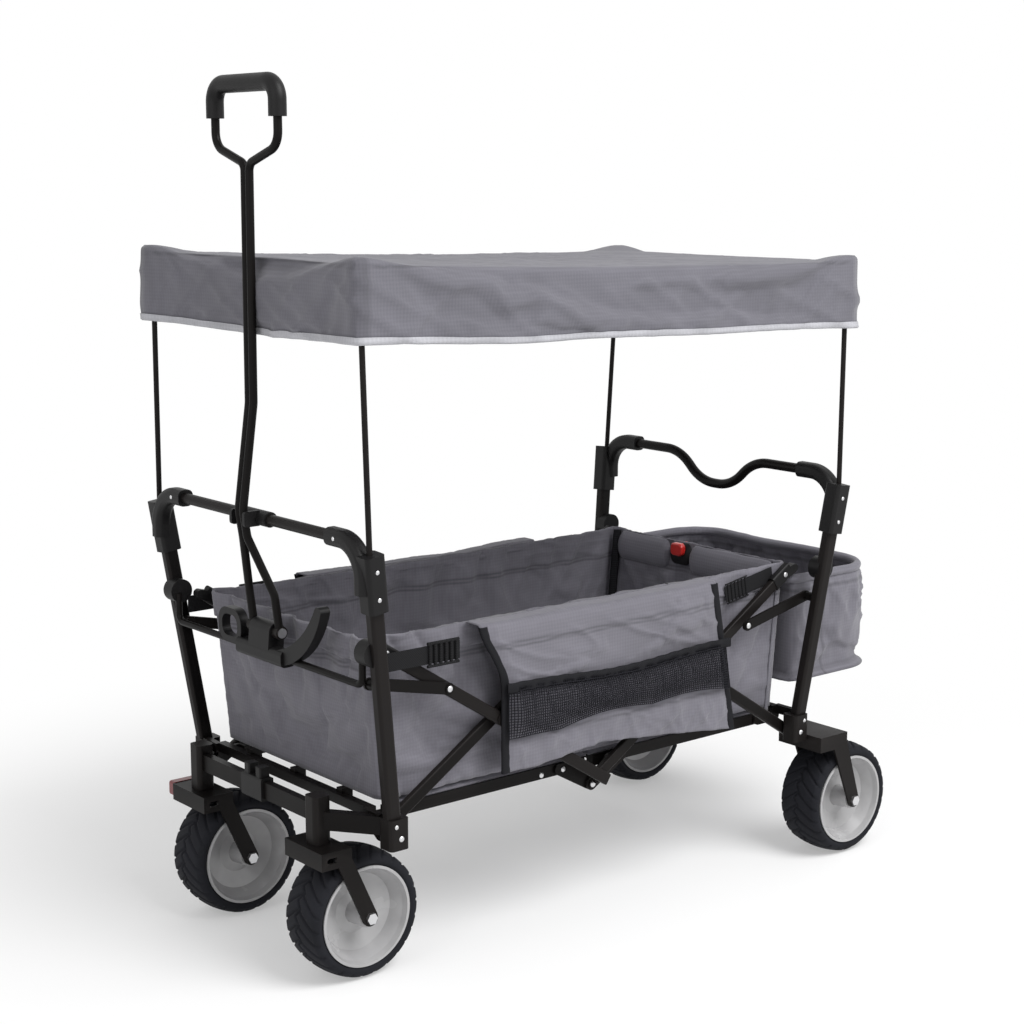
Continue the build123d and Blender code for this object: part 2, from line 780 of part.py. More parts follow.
front_clamps = make_clamps(1, front_clamp_face, True)
rear_clamps = make_clamps(-1, rear_clamp_face, False)

# Bar that carries the handle bracket, bent up into the front clamps
with BuildPart() as carrier_bar:
    with BuildLine(across(at(1, carrier_reach))) as carrier_route:
        FilletPolyline(
            (clamp_spread, clamp_height - 3),
            (clamp_spread, carrier_height),
            (-clamp_spread, carrier_height),
            (-clamp_spread, clamp_height - 3),
            radius=12,
        )
    with BuildSketch(Plane(origin=(at(1, carrier_reach), clamp_spread, clamp_height - 3), z_dir=(0, 0, -1))):
        Circle(carrier_radius)
    sweep(path=carrier_route.wires()[0])

# Handle bracket: cheeks for the pin, a foot on the carrier bar, a horn and a loop
with BuildPart() as handle_bracket:
    with BuildSketch(upright(26.5)):
        with Locations((handle_x, handle_pivot)):
            Circle(13)
        with Locations((at(1, carrier_reach) - 1, carrier_height + 2)):
            Circle(13)
        make_hull()
    extrude(amount=53)
    with BuildSketch(upright(60)):
        with Locations((at(1, carrier_reach), carrier_height)):
            RectangleRounded(24, 24, 7)
    extrude(amount=120)
    with BuildSketch(across(at(1, carrier_reach) - horn_half)):
        with BuildLine():
            ThreePointArc((46, carrier_height - 11), (112, carrier_height + 18), (157, carrier_height + 84))
            ThreePointArc((157, carrier_height + 84), (150, carrier_height + 91), (142, carrier_height + 87))
            ThreePointArc((142, carrier_height + 87), (100, carrier_height + 38), (46, carrier_height + 12))
            Line((46, carrier_height + 12), (46, carrier_height - 11))
        make_face()
    extrude(amount=2 * horn_half)
    with BuildSketch(across(at(1, carrier_reach) - 7)):
        with Locations((-84, carrier_height + 24)):
            RectangleRounded(62, 52, 22)
            RectangleRounded(42, 32, 14, mode=Mode.SUBTRACT)
    extrude(amount=14)
    with BuildSketch(upright(160)):
        with Locations((at(1, carrier_reach), carrier_height)):
            Circle(carrier_radius + fit_gap)
    extrude(amount=320, mode=Mode.SUBTRACT)
    with BuildSketch(upright(30)):
        with Locations((handle_x, handle_pivot)):
            Circle(stud_radius)
    extrude(amount=60, mode=Mode.SUBTRACT)

with BuildPart() as handle_pin:
    pin_half = handle_arm + eye_half + side_gap
    stud(handle_x, handle_pivot, -pin_half, pin_half)
    heads(handle_x, handle_pivot, [pin_half, -pin_half - head_thick])

# Clip on the front bar with two jaws open to the front
with BuildPart() as handle_clip:
    with BuildSketch(upright(42)):
        with Locations((at(1, bar_reach), bar_height)):
            Circle(bar_radius + 3)
    extrude(amount=84)
    for low in (14, -20):
        with BuildSketch(upright(low + 6)):
            with Locations((at(1, bar_reach) + 15, bar_height)):
                RectangleRounded(28, 22, 5)
        extrude(amount=6)
    with BuildSketch(upright(43)):
        with Locations((at(1, bar_reach), bar_height)):
            Circle(bar_radius + fit_gap)
    extrude(amount=86, mode=Mode.SUBTRACT)

# Pull handle: two bent tubes side by side, open below for the pivot and above for the grip
grip_x = handle_x + top_lean
with BuildPart() as handle_tube:
    with BuildLine() as handle_route:
        FilletPolyline(
            (handle_x, handle_arm, handle_pivot),
            (handle_x + fork_lean, handle_arm, handle_pivot + fork_rise),
            (handle_x + neck_lean, shaft_half, handle_pivot + neck_rise),
            (handle_x + knee_lean, shaft_half, handle_pivot + knee_rise),
            (handle_x + shaft_lean, shaft_half, handle_pivot + shaft_rise),
            (grip_x, shaft_half, grip_height - yoke_drop),
            (grip_x, grip_half, grip_height - yoke_drop + yoke_rise),
            (grip_x, grip_half, grip_height),
            (grip_x, 0, grip_height),
            radius=[fork_bend, fork_bend, knee_bend, shaft_bend, yoke_bend, loop_bend, grip_bend],
        )
    with BuildSketch(
        Plane(handle_route.wires()[0].position_at(0), z_dir=handle_route.wires()[0].tangent_at(0))
    ):
        Circle(handle_radius)
    sweep(path=handle_route.wires()[0])
    with BuildSketch(upright(handle_arm + eye_half)):
        with Locations((handle_x, handle_pivot)):
            Circle(9.5)
    extrude(amount=2 * eye_half)
    with BuildSketch(upright(handle_arm + 20)):
        with Locations((handle_x, handle_pivot)):
            Circle(stud_radius + run_gap)
    extrude(amount=40, mode=Mode.SUBTRACT)
    mirror(about=Plane.XZ)

with BuildPart() as handle_grip:
    with BuildLine(across(grip_x)) as grip_route:
        FilletPolyline(
            (grip_half, grip_height - grip_drop),
            (grip_half, grip_height),
            (-grip_half, grip_height),
            (-grip_half, grip_height - grip_drop),
            radius=grip_bend,
        )
    with BuildSketch(Plane(origin=(grip_x, grip_half, grip_height - grip_drop), z_dir=(0, 0, 1))):
        Circle(grip_radius)
        Circle(handle_radius + fit_gap, mode=Mode.SUBTRACT)
    sweep(path=grip_route.wires()[0])


# Cloth walls: a strip with shallow upright folds, drawn on a plane whose X runs along it
def cloth_strip(plane, low, high, folds, depth, thick):
    step = (high - low) / folds
    with BuildSketch(plane) as strip:
        with BuildLine():
            for side in (0, thick):
                for n in range(folds):
                    bulge = depth * (1 if n % 2 else -1) / 2 + side
                    ThreePointArc(
                        (low + n * step, side),
                        (low + (n + 0.5) * step, bulge),
                        (low + (n + 1) * step, side),
                    )
            Line((low, 0), (low, thick))
            Line((high, 0), (high, thick))
        make_face()
    return strip.sketch


def make_end_wall(end, half, low_edge, hemmed):
    foot = wall_base_reach + wall_lean * (low_edge - wall_bottom) / (wall_top - wall_bottom)
    plane = Plane(origin=(at(end, foot), 0, low_edge), x_dir=(0, -end, 0), z_dir=(0, 0, 1))
    rise = Vector(end * (wall_base_reach + wall_lean - foot), 0, wall_top - low_edge)
    with BuildPart() as wall:
        outline = cloth_strip(plane, -half, half, 7, fold_depth, wall_thick)
        extrude(outline, amount=rise.length, dir=rise.normalized())
        if hemmed:
            with BuildSketch(Plane.XY.offset(bag_top - 16)):
                low = wall_base_reach + wall_lean * 0.85
                with Locations((at(end, (low + bag_front_reach) / 2), 0)):
                    Rectangle(bag_front_reach - low, 2 * half - 8)
            extrude(amount=20)
            with BuildSketch(Plane.XY.offset(bag_top + fit_gap)):
                with Locations((at(end, (low + rim_reach) / 2), 0)):
                    Rectangle(rim_reach - low, 2 * half - 8)
            extrude(amount=rim_thick)
            with BuildSketch(across(at(end, rim_reach))):
                with Locations((button_place, button_height)):
                    Circle(stud_radius + run_gap)
            extrude(amount=rim_reach - wall_base_reach, mode=Mode.SUBTRACT)
    return wall


front_wall = make_end_wall(1, side_inner - 7, front_wall_low, False)
rear_wall = make_end_wall(-1, side_inner - side_fold / 2 - fit_gap, wall_bottom, True)

side_plane = Plane(origin=(frame_mid, side_inner, wall_bottom + 9), x_dir=(1, 0, 0), z_dir=(0, 0, 1))
side_end = wall_base_reach + wall_thick
with BuildPart() as left_side_wall:
    side_outline = cloth_strip(side_plane, -side_end, wall_base_reach, 9, side_fold, wall_thick)
    extrude(side_outline, amount=wall_top - wall_bottom - 9)
with BuildPart() as right_side_wall:
    mirror(left_side_wall.part, about=Plane.XZ)

# Outer side panels, sewn to the walls along a flange over the linkage
flange_inner = side_inner + wall_thick + side_fold / 2 + 0.5 + fit_gap
with BuildPart() as pocket_panels:
    with BuildSketch(upright(panel_inner + panel_thick)):
        Polygon(
            (at(1, 222), wall_top + 1),
            (at(1, -240), wall_top + 1),
            (at(1, -268), panel_rear_hem),
            (at(1, 12), panel_mid_hem),
            (at(1, 202), panel_front_hem),
            align=None,
        )
    extrude(amount=panel_thick)
    with BuildSketch(Plane.XY.offset(wall_top - 2)):
        with Locations((at(1, -9), (flange_inner + panel_inner) / 2)):
            Rectangle(462, panel_inner - flange_inner + 1)
    extrude(amount=3)
    mirror(about=Plane.XZ)

# Net pockets on the panels: rows of square gaps
net_low = 318.0
net_tall = 66.0
net_rows = 5
net_columns = 28
net_left = -258.0
net_wide = 464.0
with BuildPart() as mesh_pockets:
    with BuildSketch(upright(panel_inner + panel_thick + 1.2)):
        with Locations((at(1, net_left + net_wide / 2), net_low + net_tall / 2)):
            Rectangle(net_wide, net_tall)
            with GridLocations(net_wide / net_columns, net_tall / net_rows, net_columns, net_rows):
                Rectangle(net_wide / net_columns - 3, net_tall / net_rows - 3, mode=Mode.SUBTRACT)
    extrude(amount=1.2)
    mirror(about=Plane.XZ)


def make_straps(end, inner, length, reach, height, tilt):
    with BuildPart() as straps:
        with BuildSketch(upright(inner + strap_thick)):
            with Locations(Location((at(end, reach), height, 0), (0, 0, tilt))):
                RectangleRounded(length, strap_tall, 3)
        extrude(amount=strap_thick)
        mirror(about=Plane.XZ)
    return straps


front_straps = make_straps(1, front_strap, 152, pivot_reach - 42, truss_top - 10, 0)
rear_straps = make_straps(-1, rear_strap, 126, pivot_reach - 63, truss_top - 7, -10)

# Rear bag with round corners and an open top
with BuildPart() as rear_bag:
    with BuildSketch(Plane.XY.offset(bag_bottom)):
        with Locations((at(-1, (bag_front_reach + bag_rear_reach) / 2), 0)):
            bag_shape = Rectangle(bag_rear_reach - bag_front_reach, 2 * bag_half)
        fillet(bag_shape.vertices().sort_by(Axis.X)[:2], 70)
    extrude(amount=bag_top - bag_bottom)
    offset(amount=-bag_cloth, openings=rear_bag.faces().sort_by(Axis.Z)[-1])

# Red release button: a cap in front of the rear wall, and a stem through it with a head
button_back = wall_base_reach + wall_lean * (bag_top - wall_bottom) / (wall_top - wall_bottom)
button_back -= fold_depth / 2 + button_travel + side_gap
head_reach_in = wall_base_reach + wall_lean + wall_thick + fold_depth / 2 + side_gap
with BuildPart() as rim_button:
    with BuildSketch(across(at(-1, button_back))):
        with Locations((button_place, button_height - button_head)):
            RectangleRounded(button_wide, button_tall, 8)
    extrude(amount=button_deep)
    fillet(rim_button.faces().sort_by(Axis.X)[-1].edges(), 3)
    with BuildSketch(across(at(-1, head_reach_in + head_thick))):
        with Locations((button_place, button_height)):
            Circle(stud_radius)
    extrude(amount=head_reach_in + head_thick - button_back + 1)
    with BuildSketch(across(at(-1, head_reach_in + head_thick))):
        with Locations((button_place, button_height)):
            Circle(button_head)
    extrude(amount=head_thick)

# Canopy: a shallow cloth box, open below, with its edges drawn in between the poles. It is
# drawn about its own middle and then sloped down to the rear
canopy_mid = (canopy_front + canopy_rear) / 2
canopy_long = (canopy_front - canopy_rear) / 2
with BuildPart() as canopy_box:
    with BuildSketch(Plane.XY.offset(canopy_hem - canopy_top)):
        with BuildLine():
            for side in (1, -1):
                ThreePointArc(
                    (canopy_long, side * canopy_half),
                    (0, side * (canopy_half - canopy_side_draw)),
                    (-canopy_long, side * canopy_half),
                )
            ThreePointArc(
                (canopy_long, canopy_half),
                (canopy_long - canopy_front_draw, 0),
                (canopy_long, -canopy_half),
            )
            ThreePointArc(
                (-canopy_long, canopy_half),
                (canopy_rear_draw - canopy_long, 0),
                (-canopy_long, -canopy_half),
            )
        make_face()
    extrude(amount=canopy_top - canopy_hem)
    fillet(canopy_box.edges().filter_by(Axis.Z), canopy_corner)
    fillet(canopy_box.faces().sort_by(Axis.Z)[-1].edges(), 5)
    offset(amount=-canopy_cloth, openings=canopy_box.faces().sort_by(Axis.Z)[0])
with BuildPart() as canopy_roof:
    with Locations(Location((canopy_mid, 0, canopy_top), (0, -canopy_slope, 0))):
        add(canopy_box.part)

pieces = {
    "front_left_post": front_left_post,
    "front_right_post": front_right_post,
    "rear_left_post": rear_left_post,
    "rear_right_post": rear_right_post,
    "front_elbows": front_elbows,
    "rear_elbows": rear_elbows,
    "front_poles": front_poles,
    "rear_poles": rear_poles,
    "front_bar": front_bar,
    "push_bar": push_bar,
    "front_base": front_base,
    "rear_base": rear_base,
    "beam_clip": beam_clip,
    "rear_left_fork": rear_left_fork,
    "rear_right_fork": rear_right_fork,
    "rear_axle_bolts": rear_axle_bolts,
    "left_caster_fork": left_caster_fork,
    "right_caster_fork": right_caster_fork,
    "left_caster_bolt": left_caster_bolt,
    "right_caster_bolt": right_caster_bolt,
    "swivel_lock": swivel_lock,
    "front_left_tyre": front_left_tyre,
    "front_right_tyre": front_right_tyre,
    "rear_left_tyre": rear_left_tyre,
    "rear_right_tyre": rear_right_tyre,
    "front_left_rim": front_left_rim,
    "front_right_rim": front_right_rim,
    "rear_left_rim": rear_left_rim,
    "rear_right_rim": rear_right_rim,
    "front_floor_frame": front_floor_frame,
    "rear_floor_frame": rear_floor_frame,
    "front_floor_board": front_floor_board,
    "rear_floor_board": rear_floor_board,
    "front_lower_bars": front_lower_bars,
    "front_upper_bars": front_upper_bars,
    "rear_lower_bars": rear_lower_bars,
    "rear_upper_bars": rear_upper_bars,
    "front_bar_caps": front_bar_caps,
    "rear_bar_caps": rear_bar_caps,
    "front_stays": front_stays,
    "rear_stays": rear_stays,
    "front_clamps": front_clamps,
    "rear_clamps": rear_clamps,
    "carrier_bar": carrier_bar,
    "handle_bracket": handle_bracket,
    "handle_pin": handle_pin,
    "handle_clip": handle_clip,
    "handle_tube": handle_tube,
    "handle_grip": handle_grip,
    "front_wall": front_wall,
    "rear_wall": rear_wall,
    "left_side_wall": left_side_wall,
    "right_side_wall": right_side_wall,
    "pocket_panels": pocket_panels,
    "mesh_pockets": mesh_pockets,
    "front_straps": front_straps,
    "rear_straps": rear_straps,
    "rear_bag": rear_bag,
    "rim_button": rim_button,
    "canopy_roof": canopy_roof,
}
for label, piece in pieces.items():
    piece.part.label = label
    export_step(piece.part, f"parts/{label}.step")
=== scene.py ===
import json
import math
import bpy
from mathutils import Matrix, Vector, noise


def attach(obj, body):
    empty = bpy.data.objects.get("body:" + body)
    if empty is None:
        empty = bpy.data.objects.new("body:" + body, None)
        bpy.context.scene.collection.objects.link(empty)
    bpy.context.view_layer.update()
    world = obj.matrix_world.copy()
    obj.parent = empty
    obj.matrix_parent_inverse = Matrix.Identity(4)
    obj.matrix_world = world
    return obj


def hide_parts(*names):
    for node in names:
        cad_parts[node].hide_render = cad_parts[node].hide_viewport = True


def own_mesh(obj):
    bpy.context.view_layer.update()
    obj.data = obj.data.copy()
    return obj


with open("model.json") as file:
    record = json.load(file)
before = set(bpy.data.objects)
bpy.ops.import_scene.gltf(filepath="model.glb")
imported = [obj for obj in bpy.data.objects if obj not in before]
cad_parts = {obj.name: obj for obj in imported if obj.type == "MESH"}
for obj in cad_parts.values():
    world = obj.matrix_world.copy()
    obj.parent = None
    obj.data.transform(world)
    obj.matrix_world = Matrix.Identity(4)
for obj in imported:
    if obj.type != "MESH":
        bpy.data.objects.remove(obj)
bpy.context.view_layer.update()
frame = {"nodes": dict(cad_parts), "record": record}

# Lengths below are millimetres in the frame's own axes, and become metres in the meshes.
# Reach is a distance along X from the middle of the folding frame, end is 1 at the
# front and -1 at the rear, and side is 1 on the left and -1 on the right.
MM = 0.001
MID = 63.25
FLOOR_TOP = 253
WALL_BASE = 390
WALL_LEAN = 24
WALL_BOTTOM = 246
WALL_TOP = 493
WALL_HEM = 2.0
SIDE_LONG = 785
CLOTH_THICK = 1.6
FRONT_LOW = 260
FRONT_FOOT = 394
FRONT_MAT = 357
SIDE_FACE = 200
END_HALF = SIDE_FACE + 4
END_CORNER = 18
HEM_DROP = 38
PANEL_FACE = 235
PANEL_REAR, PANEL_FRONT = -206, 264
PANEL_TOP = WALL_TOP + 2
PANEL_TURN = 6
PANEL_PEAK, PANEL_PEAK_REACH = 278, 12
NET_LOW, NET_HIGH, NET_FRONT = 316, 388, 260
STRAP_FACE = 206.2
STRAP_HALF = 13
BAG_FRONT, BAG_REAR, BAG_HALF = 424, 630, 213
BAG_BOTTOM, BAG_TOP = 292, 470
BAG_CORNER, BAG_INSET = 70, 3
CANOPY_FRONT, CANOPY_REAR, CANOPY_HALF = 539, -424, 280
CANOPY_TOP, CANOPY_HEM = 996.5, 885
CANOPY_MID = 57.5
CANOPY_SLOPE = math.tan(math.radians(1.4))
ROOF_FRONT, ROOF_REAR, ROOF_INSET = 500, -400, 6
POLE_X, POLE_Y = (524, -410), 266
MAT_HALF, MAT_START, MAT_REAR = 191, 3, 377
TYRE_RADIUS, TYRE_HALF, RIM_RADIUS = 92.5, 38.7, 70
TYRE_BLOCKS = 26


def at(end, reach):
    return MID + end * reach


def end_word(end):
    return "front" if end > 0 else "rear"


def side_word(side):
    return "left" if side > 0 else "right"


def clamp(value, low, high):
    return max(low, min(high, value))


def smooth(value, low, high):
    share = clamp((value - low) / (high - low), 0, 1)
    return share * share * (3 - 2 * share)


def spread(low, high, count):
    return [low + (high - low) * n / (count - 1) for n in range(count)]


# Cloth relief: soft swells of one size, and sharp creases at an angle in degrees
def swell(s, t, size, seed):
    return noise.noise(Vector((s / size, t / size, seed)))


def crease(s, t, angle, long, wide, seed):
    turn = math.radians(angle)
    along = (s * math.cos(turn) + t * math.sin(turn)) / long
    over = (t * math.cos(turn) - s * math.sin(turn)) / wide
    return (1 - abs(noise.noise(Vector((along, over, seed))))) ** 6


# Materials

def socket(node, name, value):
    node.inputs[name].default_value = value


def start_material(name, color, roughness, metallic=0.0, sheen=0.0, coat=0.0):
    mat = bpy.data.materials.new(name)
    mat.use_nodes = True
    shader = mat.node_tree.nodes["Principled BSDF"]
    socket(shader, "Base Color", (*color, 1))
    socket(shader, "Roughness", roughness)
    socket(shader, "Metallic", metallic)
    socket(shader, "Sheen Weight", sheen)
    socket(shader, "Coat Weight", coat)
    mat.diffuse_color = (*color, 1)
    return mat, mat.node_tree.nodes, mat.node_tree.links, shader


def object_noise(nodes, links, scale, detail):
    place = nodes.new("ShaderNodeTexCoord")
    tex = nodes.new("ShaderNodeTexNoise")
    socket(tex, "Scale", scale)
    socket(tex, "Detail", detail)
    links.new(place.outputs["Object"], tex.inputs["Vector"])
    return tex


def ramp(nodes, links, source, low, high, low_color, high_color):
    node = nodes.new("ShaderNodeValToRGB")
    node.color_ramp.elements[0].position = low
    node.color_ramp.elements[1].position = high
    node.color_ramp.elements[0].color = (*low_color, 1)
    node.color_ramp.elements[1].color = (*high_color, 1)
    links.new(source, node.inputs["Fac"])
    return node


def level(nodes, links, source, low, high):
    node = nodes.new("ShaderNodeMapRange")
    socket(node, "To Min", low)
    socket(node, "To Max", high)
    links.new(source, node.inputs["Value"])
    return node


def relief(nodes, links, shader, source, strength, distance):
    node = nodes.new("ShaderNodeBump")
    socket(node, "Strength", strength)
    socket(node, "Distance", distance * MM)
    links.new(source, node.inputs["Height"])
    links.new(node.outputs["Normal"], shader.inputs["Normal"])


def tint(color, factor):
    return tuple(clamp(c * factor, 0, 1) for c in color)


def multiply_by_mask(nodes, links, color_output, mask, factor):
    node = nodes.new("ShaderNodeMix")
    node.data_type = "RGBA"
    node.blend_type = "MULTIPLY"
    links.new(mask, node.inputs["Factor"])
    links.new(color_output, node.inputs["A"])
    node.inputs["B"].default_value = (factor, factor, factor, 1)
    return node.outputs["Result"]


THREAD_SHADE = 1 - 0.12
SEAM_SHADE = 0.45


# Woven cloth: thread bands on all three axes, patchy colour, and dark stitched seams
def cloth_material(name, color, pitch=1.7):
    mat, nodes, links, shader = start_material(name, color, 0.88, sheen=0.18)
    place = nodes.new("ShaderNodeTexCoord")
    total = None
    for axis in "XYZ":
        band = nodes.new("ShaderNodeTexWave")
        band.bands_direction = axis
        socket(band, "Scale", 0.314 / (pitch * MM) / math.pi)
        socket(band, "Distortion", 0.6)
        socket(band, "Detail", 1.0)
        links.new(place.outputs["Object"], band.inputs["Vector"])
        if total is None:
            total = band.outputs["Fac"]
        else:
            add = nodes.new("ShaderNodeMath")
            links.new(total, add.inputs[0])
            links.new(band.outputs["Fac"], add.inputs[1])
            total = add.outputs[0]
    patch = object_noise(nodes, links, 9, 6)
    hue = ramp(nodes, links, patch.outputs["Fac"], 0.3, 0.7, tint(color, 0.9), tint(color, 1.08))
    thread = level(nodes, links, total, 0, 1)
    socket(thread, "From Min", 0.6)
    socket(thread, "From Max", 2.2)
    woven = multiply_by_mask(nodes, links, hue.outputs["Color"], thread.outputs["Result"], THREAD_SHADE)
    mask = nodes.new("ShaderNodeAttribute")
    mask.attribute_name = "seam"
    stitched = multiply_by_mask(nodes, links, woven, mask.outputs["Fac"], SEAM_SHADE)
    links.new(stitched, shader.inputs["Base Color"])
    relief(nodes, links, shader, total, 0.35, 0.25)
    return mat


# Powder coat: fine orange peel, uneven gloss, and a little wear on the edges
def coat_material(name, color, roughness, wear):
    mat, nodes, links, shader = start_material(name, color, roughness)
    socket(shader, "Specular IOR Level", 0.09)
    peel = object_noise(nodes, links, 420, 3)
    patch = object_noise(nodes, links, 14, 5)
    gloss = level(nodes, links, patch.outputs["Fac"], roughness - 0.1, roughness + 0.12)
    links.new(gloss.outputs["Result"], shader.inputs["Roughness"])
    shape = nodes.new("ShaderNodeNewGeometry")
    edge = ramp(nodes, links, shape.outputs["Pointiness"], 0.54, 0.68, color, tint(color, wear))
    links.new(edge.outputs["Color"], shader.inputs["Base Color"])
    relief(nodes, links, shader, peel.outputs["Fac"], 0.12, 0.25)
    return mat


# Moulded plastic: pebbled grain over a slightly uneven gloss
def moulded_material(name, color, roughness, grain=0.2, coat=0.0, gleam=0.5):
    mat, nodes, links, shader = start_material(name, color, roughness, coat=coat)
    socket(shader, "Specular IOR Level", gleam)
    place = nodes.new("ShaderNodeTexCoord")
    pebble = nodes.new("ShaderNodeTexVoronoi")
    socket(pebble, "Scale", 900)
    links.new(place.outputs["Object"], pebble.inputs["Vector"])
    patch = object_noise(nodes, links, 20, 4)
    gloss = level(nodes, links, patch.outputs["Fac"], roughness - 0.08, roughness + 0.1)
    links.new(gloss.outputs["Result"], shader.inputs["Roughness"])
    hue = ramp(nodes, links, patch.outputs["Fac"], 0.3, 0.7, tint(color, 0.9), tint(color, 1.1))
    links.new(hue.outputs["Color"], shader.inputs["Base Color"])
    relief(nodes, links, shader, pebble.outputs["Distance"], grain, 0.15)
    return mat


def metal_material(name, color, roughness):
    mat, nodes, links, shader = start_material(name, color, roughness, metallic=1.0)
    scuff = object_noise(nodes, links, 160, 6)
    gloss = level(nodes, links, scuff.outputs["Fac"], roughness - 0.12, roughness + 0.18)
    links.new(gloss.outputs["Result"], shader.inputs["Roughness"])
    relief(nodes, links, shader, scuff.outputs["Fac"], 0.1, 0.1)
    return mat


# Tyre rubber: dusty in patches, with a fine sandy grain
def rubber_material(name, color):
    mat, nodes, links, shader = start_material(name, color, 0.8)
    socket(shader, "Specular IOR Level", 0.2)
    grain = object_noise(nodes, links, 700, 4)
    dust = object_noise(nodes, links, 24, 8)
    hue = ramp(nodes, links, dust.outputs["Fac"], 0.35, 0.75, color, tint(color, 1.5))
    links.new(hue.outputs["Color"], shader.inputs["Base Color"])
    relief(nodes, links, shader, grain.outputs["Fac"], 0.25, 0.3)
    return mat


# Webbing: ribs along the strap
def webbing_material(name, color):
    mat, nodes, links, shader = start_material(name, color, 0.75)
    socket(shader, "Specular IOR Level", 0.12)
    place = nodes.new("ShaderNodeTexCoord")
    rib = nodes.new("ShaderNodeTexWave")
    rib.bands_direction = "DIAGONAL"
    socket(rib, "Scale", 180)
    socket(rib, "Distortion", 1.0)
    links.new(place.outputs["Object"], rib.inputs["Vector"])
    hue = ramp(nodes, links, rib.outputs["Fac"], 0.2, 0.9, tint(color, 0.6), tint(color, 1.5))
    links.new(hue.outputs["Color"], shader.inputs["Base Color"])
    relief(nodes, links, shader, rib.outputs["Fac"], 0.4, 0.4)
    return mat


tub_cloth = cloth_material("tub_cloth", (0.152, 0.147, 0.172))
roof_cloth = cloth_material("roof_cloth", (0.13, 0.127, 0.149))
hem_tape = cloth_material("hem_tape", (0.42, 0.42, 0.45), pitch=2.2)
mat_cloth = cloth_material("mat_cloth", (0.14, 0.136, 0.16), pitch=2.4)
binding = webbing_material("binding", (0.012, 0.012, 0.014))
webbing = webbing_material("webbing", (0.012, 0.012, 0.013))
net_thread = webbing_material("net_thread", (0.016, 0.016, 0.02))
black_coat = coat_material("black_coat", (0.0062, 0.0054, 0.0052), 0.36, 2.6)
black_plastic = moulded_material("black_plastic", (0.0075, 0.0072, 0.0075), 0.46, gleam=0.2)
red_plastic = moulded_material("red_plastic", (0.5, 0.018, 0.014), 0.3, grain=0.08, coat=0.4)
# Painted shade: a darker copy of the red plastic for the swivel lock, which lies in shadow
shaded_red = (0.15, 0.008, 0.012)
shaded_red_plastic = moulded_material("shaded_red_plastic", shaded_red, 0.36, grain=0.08, coat=0.2)
rim_plastic = moulded_material("rim_plastic", (0.36, 0.357, 0.362), 0.24, grain=0.06, coat=0.4)
tyre_rubber = rubber_material("tyre_rubber", (0.0082, 0.0086, 0.0115))
plated = metal_material("plated", (0.66, 0.66, 0.67), 0.32)

SLOT_LOOKS = {
    "black_steel": black_coat,
    "bright_steel": plated,
    "black_plastic": black_plastic,
    "red_plastic": red_plastic,
    "rim_plastic": rim_plastic,
    "tyre_rubber": tyre_rubber,
    "grey_cloth": tub_cloth,
    "canopy_cloth": roof_cloth,
    "black_net": net_thread,
    "black_webbing": webbing,
    "floor_mat": mat_cloth,
}
for part in frame["record"]["subparts"]:
    node = frame["nodes"][part["node"]]
    node.data.materials.clear()
    node.data.materials.append(SLOT_LOOKS[part["material_slot"]])
# The swivel lock takes the darker red copy, which is painted shade
frame["nodes"]["swivel_lock"].data.materials[0] = shaded_red_plastic


# Building blocks for pieces

def add_piece(name, body, mat, points, faces, flat=False):
    mesh = bpy.data.meshes.new(name)
    mesh.from_pydata([Vector(p) * MM for p in points], [], faces)
    mesh.update()
    if not flat:
        mesh.shade_smooth()
    piece = bpy.data.objects.new(name, mesh)
    bpy.context.collection.objects.link(piece)
    mesh.materials.append(mat)
    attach(piece, body)
    return piece


def grid_faces(columns, rows, wrap=False):
    faces = []
    for j in range(rows - 1):
        for i in range(columns if wrap else columns - 1):
            k = (i + 1) % columns
            low = j * columns
            faces.append((low + i, low + k, low + columns + k, low + columns + i))
    return faces


# The points round a grid's edge, in order
def grid_border(columns, rows):
    border = list(range(columns))
    border += [j * columns + columns - 1 for j in range(1, rows)]
    border += [(rows - 1) * columns + i for i in range(columns - 2, -1, -1)]
    border += [j * columns for j in range(rows - 2, 0, -1)]
    return border


# One face across a ring of a wrapped grid
def ring_face(ring, sides):
    return tuple(range(ring * sides, (ring + 1) * sides))


def thicken(piece, thick):
    layer = piece.modifiers.new("thickness", "SOLIDIFY")
    layer.thickness = thick * MM
    layer.offset = 0


def fold_with_tub(piece):
    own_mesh(piece)


def paint_seam(piece, amount):
    layer = piece.data.attributes.new("seam", "FLOAT_COLOR", "POINT")
    for n, vertex in enumerate(piece.data.vertices):
        share = amount(vertex.co / MM)
        layer.data[n].color = (share, share, share, 1)


def near(value, line, half):
    return clamp(1.5 - abs(value - line) / half, 0, 1)


EVEN_ROUNDS = 2
SETTLE_FRAMES = 18
CLOTH_BEND = 0.4
# Cloth that lies flat sinks less than cloth that hangs
FLAT_SINK = 4


# Evens out moves between neighbouring points, so that folds stay and ripples go
def even_out(mesh, moves):
    beside = [[] for move in moves]
    for edge in mesh.edges:
        a, b = edge.vertices
        beside[a].append(b)
        beside[b].append(a)
    for n in range(EVEN_ROUNDS):
        mean = [sum((moves[k] for k in ring), Vector()) / len(ring) for ring in beside]
        moves = [own.lerp(other, 0.5) for own, other in zip(moves, mean)]
    return moves


